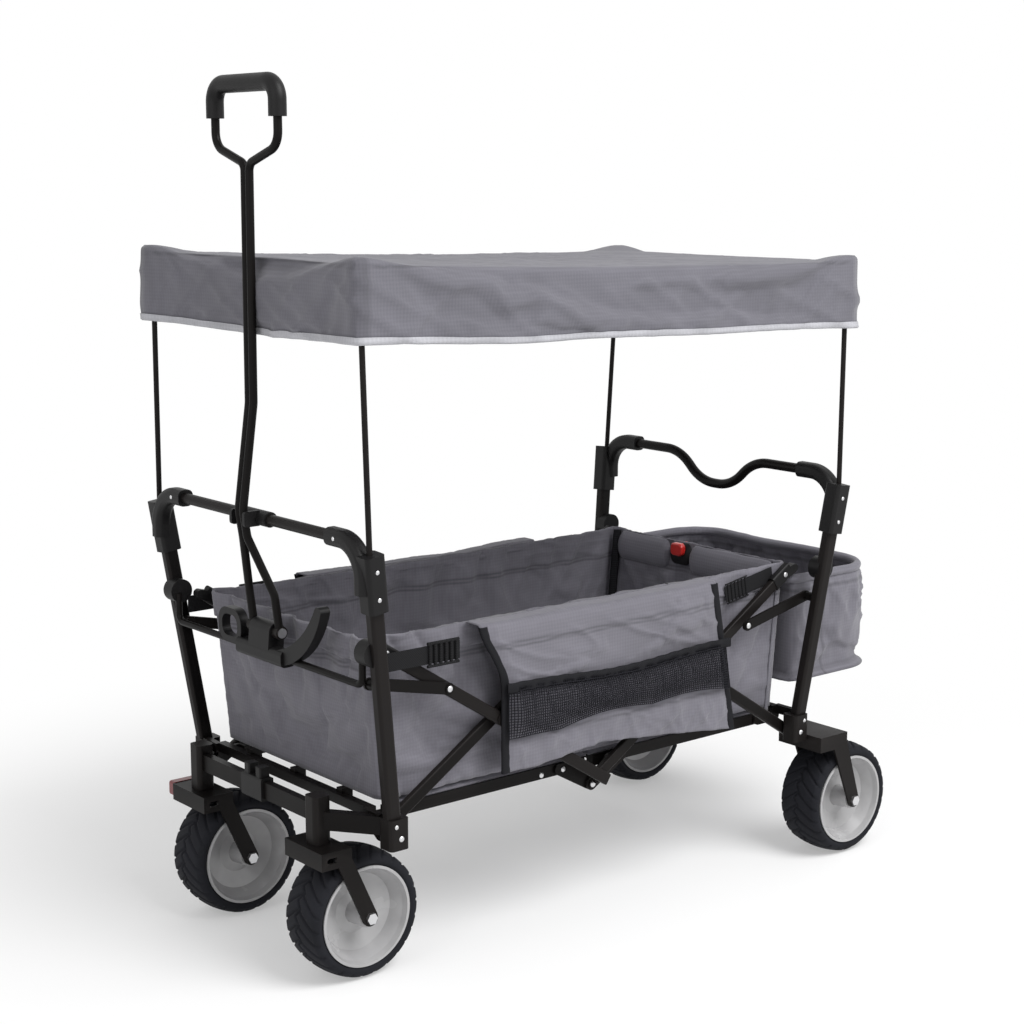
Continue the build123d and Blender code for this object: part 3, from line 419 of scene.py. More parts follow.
# Lets a sheet with a little spare cloth settle under its own weight, so that it buckles
# into folds between the places that hold it. Each move is capped: outward by proud, inward
# by deep and along the sheet by slide
def settle(piece, hold, inward, spare=0.06, proud=4, deep=24, slide=9):
    mesh = piece.data
    start = [vertex.co.copy() for vertex in mesh.vertices]
    held = piece.vertex_groups.new(name="held")
    for n, spot in enumerate(start):
        held.add([n], clamp(hold(spot / MM), 0, 1), "REPLACE")
    cloth = piece.modifiers.new("settle", "CLOTH")
    cloth.collision_settings.use_collision = False
    rules = cloth.settings
    rules.vertex_group_mass = "held"
    rules.quality = 5
    rules.mass = 0.02
    rules.tension_stiffness = 25
    rules.compression_stiffness = 25
    rules.shear_stiffness = 10
    rules.bending_stiffness = CLOTH_BEND
    rules.shrink_min = -spare
    cloth.point_cache.frame_start = 1
    cloth.point_cache.frame_end = SETTLE_FRAMES
    for n in range(1, SETTLE_FRAMES + 1):
        bpy.context.scene.frame_set(n)
    settled = piece.evaluated_get(bpy.context.evaluated_depsgraph_get()).data
    moved = [vertex.co.copy() for vertex in settled.vertices]
    piece.modifiers.remove(cloth)
    piece.vertex_groups.remove(held)
    bpy.context.scene.frame_set(1)
    moves = even_out(mesh, [last - first for first, last in zip(start, moved)])
    for vertex, first, move in zip(mesh.vertices, start, moves):
        way = Vector(inward(first / MM))
        depth = move.dot(way)
        over = move - way * depth
        if over.length > slide * MM:
            over *= slide * MM / over.length
        sink = FLAT_SINK if way.z else deep
        vertex.co = first + over + way * clamp(depth, -proud * MM, sink * MM)
    mesh.update()


def tube_along(points, radius, sides):
    rings = []
    spine = [Vector(p) for p in points]
    for n, centre in enumerate(spine):
        way = (spine[min(n + 1, len(spine) - 1)] - spine[max(n - 1, 0)]).normalized()
        first = way.cross(Vector((0, 0, 1)))
        if first.length < 0.05:
            first = way.cross(Vector((1, 0, 0)))
        first.normalize()
        second = way.cross(first)
        for k in range(sides):
            turn = 2 * math.pi * k / sides
            rings.append(centre + (first * math.cos(turn) + second * math.sin(turn)) * radius)
    faces = grid_faces(sides, len(spine), wrap=True)
    faces += [ring_face(0, sides)[::-1], ring_face(len(spine) - 1, sides)]
    return rings, faces


def join(groups):
    points, faces = [], []
    for more_points, more_faces in groups:
        base = len(points)
        points += more_points
        faces += [tuple(base + i for i in face) for face in more_faces]
    return points, faces


# A rivet: a low dome on a flat flange, along its normal
def dome(centre, normal, radius, rise):
    way = Vector(normal).normalized()
    first = way.orthogonal().normalized()
    second = way.cross(first)
    profile = [(1.0, 0.0), (1.0, 0.12), (0.93, 0.3), (0.78, 0.6), (0.5, 0.88), (0.2, 1.0)]
    sides = 20
    points = []
    for share, lift in profile:
        for k in range(sides):
            turn = 2 * math.pi * k / sides
            arm = first * math.cos(turn) + second * math.sin(turn)
            points.append(Vector(centre) + arm * radius * share + way * rise * lift)
    faces = grid_faces(sides, len(profile), wrap=True)
    faces.append(ring_face(len(profile) - 1, sides))
    return points, faces


# Tub walls: each is one sheet that runs up the inside, over the top and down the hem
def wall_rows(bottom, top):
    rows = [("in", z) for z in spread(bottom, top - 58, 24)]
    rows += [("in", z) for z in spread(top - 54, top - 3, 18)]
    rows += [("turn", turn) for turn in (20, 55, 90, 125, 160)]
    rows += [("out", z) for z in spread(top - 3, top - HEM_DROP, 12)]
    return rows


# Height of a row, and how far it lies outside the wall's inner face
def wall_height(row, top):
    kind, value = row
    if kind == "turn":
        turn = math.radians(value)
        return top - WALL_HEM + WALL_HEM * math.sin(turn), WALL_HEM - WALL_HEM * math.cos(turn)
    return value, 0 if kind == "in" else 2 * WALL_HEM


def wall_lean(z):
    return WALL_LEAN * (z - WALL_BOTTOM) / (WALL_TOP - WALL_BOTTOM)


def wall_seam(p):
    return max(near(p.z, WALL_TOP - 51, 1.6), near(p.z, WALL_TOP - 46, 1.4)) * 0.8


def wall_top_hold(z):
    return 0.5 * smooth(z, WALL_TOP - 46, WALL_TOP - 20)


# Depth of the folds at a place on a wall: gathers in the middle, creases towards the ends
def tub_relief(s, z, length, seed):
    lift = smooth(z, WALL_BOTTOM, WALL_TOP)
    gather = math.exp(-((s / 190) ** 2)) * smooth(z, 330, 470)
    fold = 9 * gather * (0.5 + 0.5 * math.sin(s / 13 + 2.2 * swell(s, z, 90, seed)))
    fold += 7 * crease(s, z, 62, 260, 46, seed + 3) * smooth(s, 0, length / 2)
    fold += 7 * crease(s, z, -62, 260, 46, seed + 5) * smooth(-s, 0, length / 2)
    fold += 8 * (0.5 + 0.5 * swell(s, z, 130, seed + 7)) * (1 - 0.55 * lift)
    fold += 2.5 * crease(s, z, 8, 150, 26, seed + 9)
    return fold


# How far a side wall's top edge drops between its straps
def top_dip(s, side):
    return 6 * math.cos(math.pi * s / SIDE_LONG) + 4 * swell(s, 0, 120, 21 - 10 * side)


def side_wall(side, seed):
    columns = spread(0, 1, 150)
    rows = wall_rows(WALL_BOTTOM + 10, WALL_TOP)
    points = []
    for row in rows:
        for share in columns:
            s = (share - 0.5) * SIDE_LONG
            z, over = wall_height(row, WALL_TOP - top_dip(s, side))
            lean = wall_lean(z)
            low, high = at(-1, WALL_BASE - 4 + lean), at(1, WALL_BASE - 4 + lean)
            depth = tub_relief(s, z, SIDE_LONG, seed) * smooth(SIDE_LONG / 2 - abs(s), 0, 40)
            y = side * (SIDE_FACE + 2.5 - min(depth, 26) + over)
            points.append((low + (high - low) * share, y, z))
    name = side_word(side) + "_side_cloth"
    faces = grid_faces(len(columns), len(rows))
    piece = add_piece(name, "rear_frame", tub_cloth, points, faces)

    def hold(p):
        ends = 1 - smooth(SIDE_LONG / 2 + 20 - abs(p.x - MID), 0, 45)
        foot = 1 - smooth(p.z, WALL_BOTTOM + 8, WALL_BOTTOM + 30)
        return max(ends, foot, wall_top_hold(p.z))

    settle(piece, hold, lambda p: (0, -side, 0))
    # Flat under the rear strap
    for vertex in piece.data.vertices:
        spot = vertex.co / MM
        if spot.x < at(-1, 256) and spot.z > 430:
            vertex.co.y = side * min(side * spot.y, STRAP_FACE - 1.2) * MM
    paint_seam(piece, wall_seam)
    thicken(piece, CLOTH_THICK)
    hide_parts(side_word(side) + "_side_wall")
    fold_with_tub(piece)
    return piece


side_walls = {1: side_wall(1, 11.0), -1: side_wall(-1, 31.0)}


# An end wall laps round the tub's corners. The front one starts with a strip from the mat
def end_wall(end, low, seed):
    columns = spread(-1, 1, 110)
    points = []
    rows = wall_rows(low, WALL_TOP)
    if low > FLOOR_TOP:
        for inset in spread(FRONT_FOOT - FRONT_MAT, 4, 7):
            for share in columns:
                fall = (low - FLOOR_TOP) * inset / (FRONT_FOOT - FRONT_MAT)
                points.append((at(end, FRONT_FOOT - inset), share * (END_HALF - 8), low - fall))
    shelf = len(points) // len(columns)
    for row in rows:
        for share in columns:
            s = share * (END_HALF + 16)
            dip = (5 * math.cos(math.pi * share / 2) + 2.5 * swell(s, 0, 90, seed)) * (1 if end > 0 else 0.2)
            z, over = wall_height(row, WALL_TOP - dip)
            turn = clamp((abs(s) - END_HALF + END_CORNER) / (END_CORNER + 16) * math.pi / 2, 0, math.pi / 2)
            y = math.copysign(min(abs(s), END_HALF - END_CORNER) + END_CORNER * math.sin(turn), s)
            back = END_CORNER * (1 - math.cos(turn))
            depth = tub_relief(s, z, 2 * END_HALF, seed) * smooth(END_HALF - abs(s), 0, 40)
            depth *= smooth(z, low, low + 40)
            points.append((at(end, WALL_BASE + 2.5 + wall_lean(z) - back - min(depth, 18) + over), y, z))
    faces = grid_faces(len(columns), shelf + len(rows))
    word = end_word(end)
    piece = add_piece(word + "_cloth", word + "_frame", tub_cloth, points, faces)

    def hold(p):
        sides = 1 - smooth(END_HALF - abs(p.y), 2, 30)
        return max(sides, 1 - smooth(p.z, low + 4, low + 26), wall_top_hold(p.z))

    settle(piece, hold, lambda p: (-end, 0, 0))
    # Flat behind the padded roll
    for vertex in piece.data.vertices:
        spot = vertex.co / MM
        if end < 0 and spot.z > WALL_TOP - 56 and abs(spot.y) < END_HALF - END_CORNER:
            vertex.co.x = min(spot.x, at(end, WALL_BASE + wall_lean(spot.z) - 2)) * MM
    paint_seam(piece, wall_seam)
    thicken(piece, CLOTH_THICK)
    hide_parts(word + "_wall")
    return piece


end_wall(1, FRONT_LOW, 51.0)
rear_cloth = end_wall(-1, WALL_BOTTOM, 71.0)


# Padded roll along the top of the rear wall, in two parts with the red button between them
def roll_part(name, mat, low, high, tall, deep, seed):
    columns = spread(low, high, 60)
    sides = 20
    points = []
    for y in columns:
        inset = 1 - clamp(min(y - low, high - y) / 16, 0, 1)
        pad = math.sqrt(max(1 - inset * inset, 0.02)) * (1 + 0.07 * swell(y, 0, 55, seed))
        for k in range(sides):
            turn = 2 * math.pi * k / sides
            z = WALL_TOP - 2 - tall + tall * pad * math.sin(turn)
            points.append((at(-1, WALL_BASE + wall_lean(z) - 1 + deep * pad * math.cos(turn)), y, z))
    faces = grid_faces(sides, len(columns), wrap=True)
    faces += [ring_face(0, sides)[::-1], ring_face(len(columns) - 1, sides)]
    return add_piece(name, "rear_frame", mat, points, faces)


roll_right = roll_part("rear_roll_right", tub_cloth, -188, -54, 25, 11, 41.0)
roll_left = roll_part("rear_roll_left", tub_cloth, -8, 188, 25, 11, 43.0)
roll_part("button_housing", black_plastic, -57, -5, 20, 7, 45.0)


# Outer side panels: the sheet leaves the wall's top, turns over and hangs outside the bars
def panel_edges(z):
    front = PANEL_FRONT + 42 * smooth(z, 385, 500) ** 1.3
    rear = PANEL_REAR + 44 * ((z - 248) / 246)
    return rear, front


# Height of a panel's lower edge, which is highest near the middle
def panel_hem(x):
    reach = x - MID
    if reach > PANEL_PEAK_REACH:
        return PANEL_PEAK - 11 * clamp((reach - PANEL_PEAK_REACH) / 120, 0, 1)
    return PANEL_PEAK - 31 * ((PANEL_PEAK_REACH - reach) / 280) ** 1.2


def panel_piece(side, seed):
    columns = spread(0, 1, 120)
    rows = [("lap", share) for share in spread(0, 1, 6)]
    rows += [("flat", y) for y in spread(207, PANEL_FACE - PANEL_TURN, 8)]
    rows += [("turn", turn) for turn in (22, 45, 67)]
    rows += [("drop", share) for share in spread(0, 1, 70)]
    points = []
    for kind, value in rows:
        for share in columns:
            if kind == "lap":
                y, z = 198 + 8 * value, WALL_TOP - 12 + 14 * math.sin(math.pi / 2 * value)
            elif kind == "flat":
                y, z = value, PANEL_TOP
            elif kind == "turn":
                y = PANEL_FACE - PANEL_TURN + PANEL_TURN * math.sin(math.radians(value))
                z = PANEL_TOP - PANEL_TURN + PANEL_TURN * math.cos(math.radians(value))
            else:
                start = PANEL_TOP - PANEL_TURN
                hem = panel_hem(PANEL_REAR + (PANEL_FRONT - PANEL_REAR) * share) + 1
                y, z = PANEL_FACE, start - (start - hem) * value
            rear, front = panel_edges(z)
            x = rear + (front - rear) * share
            s = x - MID
            drop = top_dip(s, side) * smooth(z, 400, WALL_TOP)
            bulge = 0
            if kind == "drop":
                hang = smooth(z - hem, 0, 50) * smooth(WALL_TOP - z, 0, 30)
                bulge = 5 * hang * (0.5 + 0.5 * swell(s, z, 110, seed))
                bulge += 5 * crease(s, z, 24, 240, 40, seed + 2) * hang
                bulge += 4 * crease(s, z, -38, 180, 34, seed + 4) * smooth(320 - z, 0, 40)
                bulge += 3 * crease(s, z, 70, 120, 30, seed + 6) * smooth(330 - z, 0, 50)
                bulge *= smooth(share, 0, 0.06) * smooth(1 - share, 0, 0.06)
            points.append((x, side * (y + bulge), z - drop))
    faces = grid_faces(len(columns), len(rows))
    piece = add_piece(side_word(side) + "_panel_cloth", "rear_frame", tub_cloth, points, faces)

    def hold(p):
        rear, front = panel_edges(p.z)
        edges = 1 - smooth(min(p.x - rear, front - p.x), 6, 30)
        pocket = 0.7 * smooth(p.z, 312, 324) * smooth(400 - p.z, 0, 12)
        return max(edges, 1 - smooth(p.z - panel_hem(p.x), 4, 20), pocket, 0.6 if abs(p.y) < 226 else 0)

    settle(piece, hold, lambda p: (0, -side, 0), spare=0.05, proud=11, deep=0.5)
    paint_seam(piece, lambda p: 0.7 * max(near(p.z, 458, 1.6), near(p.z, 453, 1.4), near(p.z, 316, 1.6)))
    thicken(piece, CLOTH_THICK)
    fold_with_tub(piece)
    return piece


left_panel = panel_piece(1, 91.0)
panel_piece(-1, 111.0)
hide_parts("pocket_panels")


# Black binding up the two inner corners at the rear
def corner_binding():
    groups = []
    for side in (1, -1):
        points = []
        heights = spread(WALL_BOTTOM + 12, WALL_TOP - 2, 30)
        for z in heights:
            x = at(-1, WALL_BASE + wall_lean(z) - 9)
            for along, off in ((-7, 0.5), (-5, 3), (5, 3), (7, 0.5)):
                y = side * (SIDE_FACE - 13 - off * 0.5 + along * 0.7)
                points.append((x + off * 0.5 + along * 0.7, y, z))
        groups.append((points, grid_faces(4, len(heights), wrap=True)))
    points, faces = join(groups)
    add_piece("rear_corner_binding", "rear_frame", binding, points, faces)


corner_binding()


# Black binding along the two upright edges of each panel
def binding_piece(side):
    groups = []
    for edge in (0, 1):
        line = []
        low = panel_hem(panel_edges(250)[edge])
        for z in spread(WALL_TOP - 1, low, 40):
            x = panel_edges(z)[edge] + (5 if edge == 0 else -5)
            drop = top_dip(x - MID, side) * smooth(z, 400, WALL_TOP)
            line.append((x, side * (PANEL_FACE + 0.6), z - drop))
        points = []
        for x, y, z in line:
            for over, lift in ((-7, -1.6), (-7, 1.2), (-3, 2.4), (3, 2.4), (7, 1.2), (7, -1.6)):
                points.append((x + over, y + side * lift, z))
        groups.append((points, grid_faces(6, len(line), wrap=True)))
    points, faces = join(groups)
    name = side_word(side) + "_panel_binding"
    fold_with_tub(add_piece(name, "rear_frame", binding, points, faces))


binding_piece(1)
binding_piece(-1)


# Net pocket: a slack net of real threads under an elastic band
def net_lines(x):
    share = clamp((x + 200) / 460, 0, 1)
    top = NET_HIGH + 6 * (2 * share - 1) ** 2 + 2.5 * math.sin(9 * share)
    bottom = NET_LOW + 10 * math.sin(math.pi * share)
    bottom += 7 * abs(math.sin(2.5 * math.pi * share)) - 4 * share
    return bottom, top


def net_piece(side, seed):
    columns, rows = 110, 18
    points = []
    for j in range(rows + 1):
        for i in range(columns + 1):
            share = j / rows
            rear = panel_edges(NET_LOW + (NET_HIGH - NET_LOW) * share)[0] + 5
            x = rear + (NET_FRONT - rear) * i / columns
            bottom, top = net_lines(x)
            z = bottom + (top - bottom) * share
            belly = 4 + 9 * math.sin(math.pi * share) * (0.6 + 0.4 * swell(x, z, 70, seed))
            belly += 3 * crease(x, z, 75, 90, 22, seed + 1) * share
            belly *= smooth(i / columns, 0, 0.05) * smooth(1 - i / columns, 0, 0.05)
            points.append((x, side * (PANEL_FACE + 9 + belly), z))
    faces = grid_faces(columns + 1, rows + 1)
    piece = add_piece(side_word(side) + "_net", "rear_frame", net_thread, points, faces)
    threads = piece.modifiers.new("threads", "WIREFRAME")
    threads.thickness = 2.1 * MM
    threads.use_even_offset = False
    fold_with_tub(piece)
    return piece


def band_piece(side, seed):
    points = []
    columns = spread(-183, 264, 90)
    for x in columns:
        top = net_lines(x)[1]
        for over, lift in ((-7, -2), (-7, 1), (-5, 2), (5, 2), (7, 1), (7, -2)):
            wave = 1.2 * math.sin(x / 4.3) + 2 * swell(x, 0, 60, seed)
            points.append((x, side * (PANEL_FACE + 12 + lift + wave), top + over))
    faces = grid_faces(6, len(columns), wrap=True)
    fold_with_tub(add_piece(side_word(side) + "_band", "rear_frame", binding, points, faces))


left_net = net_piece(1, 131.0)
net_piece(-1, 151.0)
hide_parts("mesh_pockets")
band_piece(1, 171.0)
band_piece(-1, 191.0)

# Canopy: one sheet over the pole tips, with a skirt that hangs from its edge and is drawn
# in between them. It slopes down to the rear
roof_columns, roof_rows = 97, 57


def roof_point(u, v):
    y = v * (CANOPY_HALF - ROOF_INSET - 8 * (1 - u * u))
    rear = CANOPY_REAR + ROOF_INSET + 18 * (1 - v * v)
    front = CANOPY_FRONT - ROOF_INSET - 28 * (1 - v * v)
    x = rear + (front - rear) * (u + 1) / 2
    sag = 7 * (1 - u * u) + 3 * (1 - u * u) * (1 - v * v) + 1 - v * v
    folds = 3 * crease(x, y, 28, 420, 60, 3.0) + 3 * crease(x, y, -30, 420, 60, 5.0)
    folds *= (1 - abs(u) ** 6) * (1 - abs(v) ** 6)
    tip = 0
    for pole_x in POLE_X:
        for side in (1, -1):
            tip += 4.5 * math.exp(-((x - pole_x) ** 2 + (y - side * POLE_Y) ** 2) / 900)
    return Vector((x, y, CANOPY_TOP - 2 - sag + folds + tip))


roof = [roof_point(u, v) for v in spread(-1, 1, roof_rows) for u in spread(-1, 1, roof_columns)]
faces = grid_faces(roof_columns, roof_rows)
rim = grid_border(roof_columns, roof_rows)
count = len(rim)


def ring_normals(ring):
    turned = []
    for n in range(count):
        way = ring[(n + 1) % count] - ring[n - 1]
        turned.append(Vector((way.y, -way.x, 0)).normalized())
    return turned


normals = ring_normals([roof[n] for n in rim])


def skirt_point(n, share, out):
    base = roof[rim[n]]
    s = 7.2 * n
    drop = share * (CANOPY_TOP - CANOPY_HEM)
    wave = 3.4 * share * math.sin(s / 47 + 1.7 * swell(s, 0, 160, 7.0)) + 3 * share * swell(s, drop, 150, 9.0)
    folds = 4.5 * crease(s, drop, 40, 240, 44, 11.0) + 3.5 * crease(s, drop, -52, 200, 38, 13.0)
    wave += folds * min(1, 3 * share)
    spot = base + normals[n] * (out + wave - 2)
    spot.z = base.z + (CANOPY_HEM + 2 - base.z + 5 * swell(s, 0, 200, 15.0)) * share
    return spot


skirt_rows = [(0.012, 3.0), (0.028, 4.9), (0.048, 5.8)]
skirt_rows += [(share, 6.0) for share in spread(0.08, 1, 25)]
points = list(roof)
previous = rim
for share, out in skirt_rows:
    ring = list(range(len(points), len(points) + count))
    points += [skirt_point(n, share, out) for n in range(count)]
    for n in range(count):
        k = (n + 1) % count
        faces.append((previous[k], previous[n], ring[n], ring[k]))
    previous = ring
canopy = add_piece("canopy_cloth", "canopy", roof_cloth, points, faces)


def canopy_hold(p):
    tip = min(math.hypot(p.x - x, abs(p.y) - POLE_Y) for x in POLE_X)
    return max(1 - smooth(tip, 16, 60), 0.4 * (1 - smooth(p.z, CANOPY_HEM + 4, CANOPY_HEM + 30)), 0.04)


def canopy_inward(p):
    if abs(p.y) > 258:
        return (0, math.copysign(1, -p.y), 0)
    if p.x > ROOF_FRONT or p.x < ROOF_REAR:
        return (math.copysign(1, CANOPY_MID - p.x), 0, 0)
    return (0, 0, -1)


settle(canopy, canopy_hold, canopy_inward, spare=0.02, proud=4, deep=9, slide=5)


def canopy_seam(p):
    corner = near(min(abs(p.x - x) for x in POLE_X), 0, 1.5) * (1 if abs(p.y) > 270 else 0)
    on_skirt = abs(p.y) > 268 or p.x > ROOF_FRONT or p.x < ROOF_REAR
    edge = near(p.z, CANOPY_TOP - 9, 1.5) * (1 if on_skirt else 0)
    return 0.6 * max(corner, edge)


paint_seam(canopy, canopy_seam)

# Pale hem tape, folded over the lowest rings of the skirt
first = len(roof) + (len(skirt_rows) - 3) * count
tape_rings = [[canopy.data.vertices[first + j * count + n].co / MM for n in range(count)] for j in range(3)]
tape_normals = ring_normals(tape_rings[1])
low_edge = [spot - Vector((0, 0, 2)) for spot in tape_rings[2]]
hem_points = []
tape_layers = [(r, 2.3) for r in tape_rings] + [(low_edge, 0)] + [(r, -2.3) for r in reversed(tape_rings)]
for ring, out in tape_layers:
    hem_points += [spot + tape_normals[n] * out for n, spot in enumerate(ring)]
hem = add_piece("canopy_hem", "canopy", hem_tape, hem_points, grid_faces(count, 7, wrap=True))
for piece in (canopy, hem):
    for vertex in piece.data.vertices:
        vertex.co.z += (vertex.co.x - CANOPY_MID * MM) * CANOPY_SLOPE
    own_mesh(piece)
thicken(canopy, 1.4)
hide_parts("canopy_roof")

# Rear bag: one slack shell with a rolled rim, rounded at the rear, closed below
def bag_outline():
    near_x, far_x = at(-1, BAG_FRONT + BAG_INSET), at(-1, BAG_REAR - BAG_INSET)
    half = BAG_HALF - BAG_INSET

    def corner(turn, side):
        a = math.radians(turn)
        x = far_x + BAG_CORNER - BAG_CORNER * math.sin(a)
        return Vector((x, side * (half - BAG_CORNER + BAG_CORNER * math.cos(a)), 0))

    line = [Vector((x, half, 0)) for x in spread(near_x, far_x + BAG_CORNER, 26)]
    line += [corner(turn, 1) for turn in spread(0, 90, 24)[1:-1]]
    line += [Vector((far_x, y, 0)) for y in spread(half - BAG_CORNER, -half + BAG_CORNER, 44)]
    line += [corner(turn, -1) for turn in spread(90, 0, 24)[1:-1]]
    line += [Vector((x, -half, 0)) for x in spread(far_x + BAG_CORNER, near_x, 26)]
    line += [Vector((near_x, y, 0)) for y in spread(-half, half, 60)[1:-1]]
    return line


bag_line = bag_outline()
bag_count = len(bag_line)
bag_middle = Vector((at(-1, (BAG_FRONT + BAG_REAR) / 2), 0, 0))


def bag_normal(n):
    way = bag_line[(n + 1) % bag_count] - bag_line[n - 1]
    return Vector((way.y, -way.x, 0)).normalized() * -1


bag_run = [0.0]
for n in range(1, bag_count):
    bag_run.append(bag_run[-1] + (bag_line[n] - bag_line[n - 1]).length)
bag_normals = [bag_normal(n) for n in range(bag_count)]
front_face = [p.x > at(-1, BAG_FRONT + 4) for p in bag_line]


def bag_point(n, z, inward):
    s = bag_run[n]
    slack = smooth(z, BAG_BOTTOM, BAG_BOTTOM + 60) * smooth(BAG_TOP - z, 0, 30)
    dent = 7 * (0.5 + 0.5 * swell(s, z, 90, 21.0)) + 5 * crease(s, z, 68, 150, 34, 23.0)
    dent += 5 * crease(s, z, -35, 130, 36, 25.0)
    dent *= 0.15 if front_face[n] else slack
    spot = bag_line[n] - bag_normals[n] * (dent + inward)
    spot.z = z + 3 * swell(s, 0, 120, 27.0) * smooth(z, 430, BAG_TOP)
    return spot


bag_points = []
bag_rows = [(z, 0) for z in spread(BAG_TOP - 8, BAG_BOTTOM + 20, 34)]
for turn in (25, 50, 75):
    a = math.radians(turn)
    bag_rows.append((BAG_BOTTOM + 20 - 17 * math.sin(a), 20 - 20 * math.cos(a)))
for z, inward in bag_rows:
    bag_points += [bag_point(n, z, inward) for n in range(bag_count)]
bottom_rings = (0.75, 0.5, 0.25, 0.06)
for share in bottom_rings:
    for n in range(bag_count):
        rim_spot = bag_point(n, BAG_BOTTOM + 3, 20)
        spot = bag_middle + (rim_spot - bag_middle) * share
        spot.z = BAG_BOTTOM + 2.5 + 1.5 * swell(spot.x, spot.y, 60, 29.0)
        bag_points.append(spot)
bag_rings = len(bag_rows) + len(bottom_rings)
bag_faces = grid_faces(bag_count, bag_rings, wrap=True)
bag_faces.append(ring_face(bag_rings - 1, bag_count))
bag = add_piece("bag_cloth", "rear_frame", tub_cloth, bag_points, bag_faces)


def bag_hold(p):
    front = smooth(p.x, at(-1, BAG_FRONT + 22), at(-1, BAG_FRONT + 6))
    foot = 1 - smooth(p.z, BAG_BOTTOM + 8, BAG_BOTTOM + 24)
    return max(front, smooth(p.z, BAG_TOP - 34, BAG_TOP - 14), foot)


def bag_inward(p):
    return (bag_middle - Vector((p.x, p.y, 0))).normalized()


def bag_seam(p):
    rings = max(near(p.z, BAG_TOP - 26, 1.5), near(p.z, BAG_BOTTOM + 14, 1.5))
    return 0.7 * max(rings, near(p.x, at(-1, 500), 1.5))


settle(bag, bag_hold, bag_inward, spare=0.04, proud=2, deep=16)
paint_seam(bag, bag_seam)
thicken(bag, 2.2)
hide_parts("rear_bag")

# The bag's padded rim, a closed tube
RIM_SIDES = 12
rim_points, rim_faces = [], []
for n, run in enumerate(bag_run):
    centre = bag_point(n, BAG_TOP - 6, 1.5)
    pad = 6.5 + 0.9 * math.sin(run / 9) * swell(run, 0, 50, 33.0) + 0.8 * swell(run, 0, 90, 35.0)
    this, following = n * RIM_SIDES, (n + 1) % bag_count * RIM_SIDES
    for k in range(RIM_SIDES):
        turn = 2 * math.pi * k / RIM_SIDES
        lift = Vector((0, 0, pad * 1.15 * math.sin(turn)))
        rim_points.append(centre + bag_normals[n] * pad * math.cos(turn) + lift)
        beside = (k + 1) % RIM_SIDES
        rim_faces.append((this + k, this + beside, following + beside, following + k))
bag_rim = add_piece("bag_rim", "rear_frame", tub_cloth, rim_points, rim_faces)


# Straps: ribbed webbing with a ladder buckle. Along is a distance from the strap's middle
def strap_piece(name, body, face, middle, tilt, low, high, buckle, bar_radius):
    end = 1 if name.startswith("front") else -1
    turn = math.radians(tilt)
    groups = []

    def spot(side, along, across, lift):
        reach = middle[0] + along * math.cos(turn) - across * math.sin(turn)
        z = middle[1] + along * math.sin(turn) + across * math.cos(turn)
        return at(end, reach), side * (face + lift), z

    for side in (1, -1):
        columns = spread(low, high, 70)
        section = [(-STRAP_HALF, 0.1), (-STRAP_HALF, 0.9), (STRAP_HALF, 0.9), (STRAP_HALF, 0.1)]
        points = [spot(side, along, across, lift) for along in columns for across, lift in section]
        groups.append((points, grid_faces(4, len(columns), wrap=True)))
        first, last = buckle
        for bar in spread(first, last, 6):
            spine = [spot(side, bar, across, bar_radius) for across in spread(-17, 17, 8)]
            groups.append(tube_along(spine, bar_radius, 8))
        for rail in (-16, 16):
            spine = [spot(side, along, rail, bar_radius) for along in spread(first - 4, last + 4, 10)]
            groups.append(tube_along(spine, bar_radius * 0.95, 8))
    points, faces = join(groups)
    piece = add_piece(name + "_webbing", body, webbing, points, faces, flat=True)
    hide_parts(name)


strap_piece("front_straps", "front_frame", 241.2, (358, 466), 0, -75, 75, (-68, -22), 2.4)
strap_piece("rear_straps", "rear_frame", STRAP_FACE, (337, 469), 10, -62, 46, (-56, -16), 1.4)


# Floor mats: quilted pads over the boards
def mat_piece(end):
    columns, rows = 72, 72
    long, wide = (FRONT_MAT if end > 0 else MAT_REAR) - MAT_START, 2 * MAT_HALF
    points = []
    for j in range(rows):
        for i in range(columns):
            u, v = i / (columns - 1), j / (rows - 1)
            reach, y = MAT_START + long * u, -MAT_HALF + wide * v
            edge = min(u * long, (1 - u) * long, v * wide, (1 - v) * wide)
            crown = 5 * smooth(edge, -1, 10)
            quilt = abs(math.sin(math.pi * 3 * u)) ** 0.5 * abs(math.sin(math.pi * 2 * v)) ** 0.5
            points.append((at(end, reach), y, FLOOR_TOP - 5.5 + crown + 2.4 * quilt * smooth(edge, 0, 12)))
    faces = grid_faces(columns, rows)
    border = grid_border(columns, rows)
    first = len(points)
    points += [(*points[n][:2], FLOOR_TOP - 7.9) for n in border]
    for n in range(len(border)):
        k = (n + 1) % len(border)
        faces.append((border[k], border[n], first + n, first + k))
    faces.append(tuple(range(first, first + len(border)))[::-1])
    body = end_word(end) + "_floor"
    piece = add_piece(body + "_board_mat", body, mat_cloth, points, faces)
    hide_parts(body + "_board")


mat_piece(1)
mat_piece(-1)


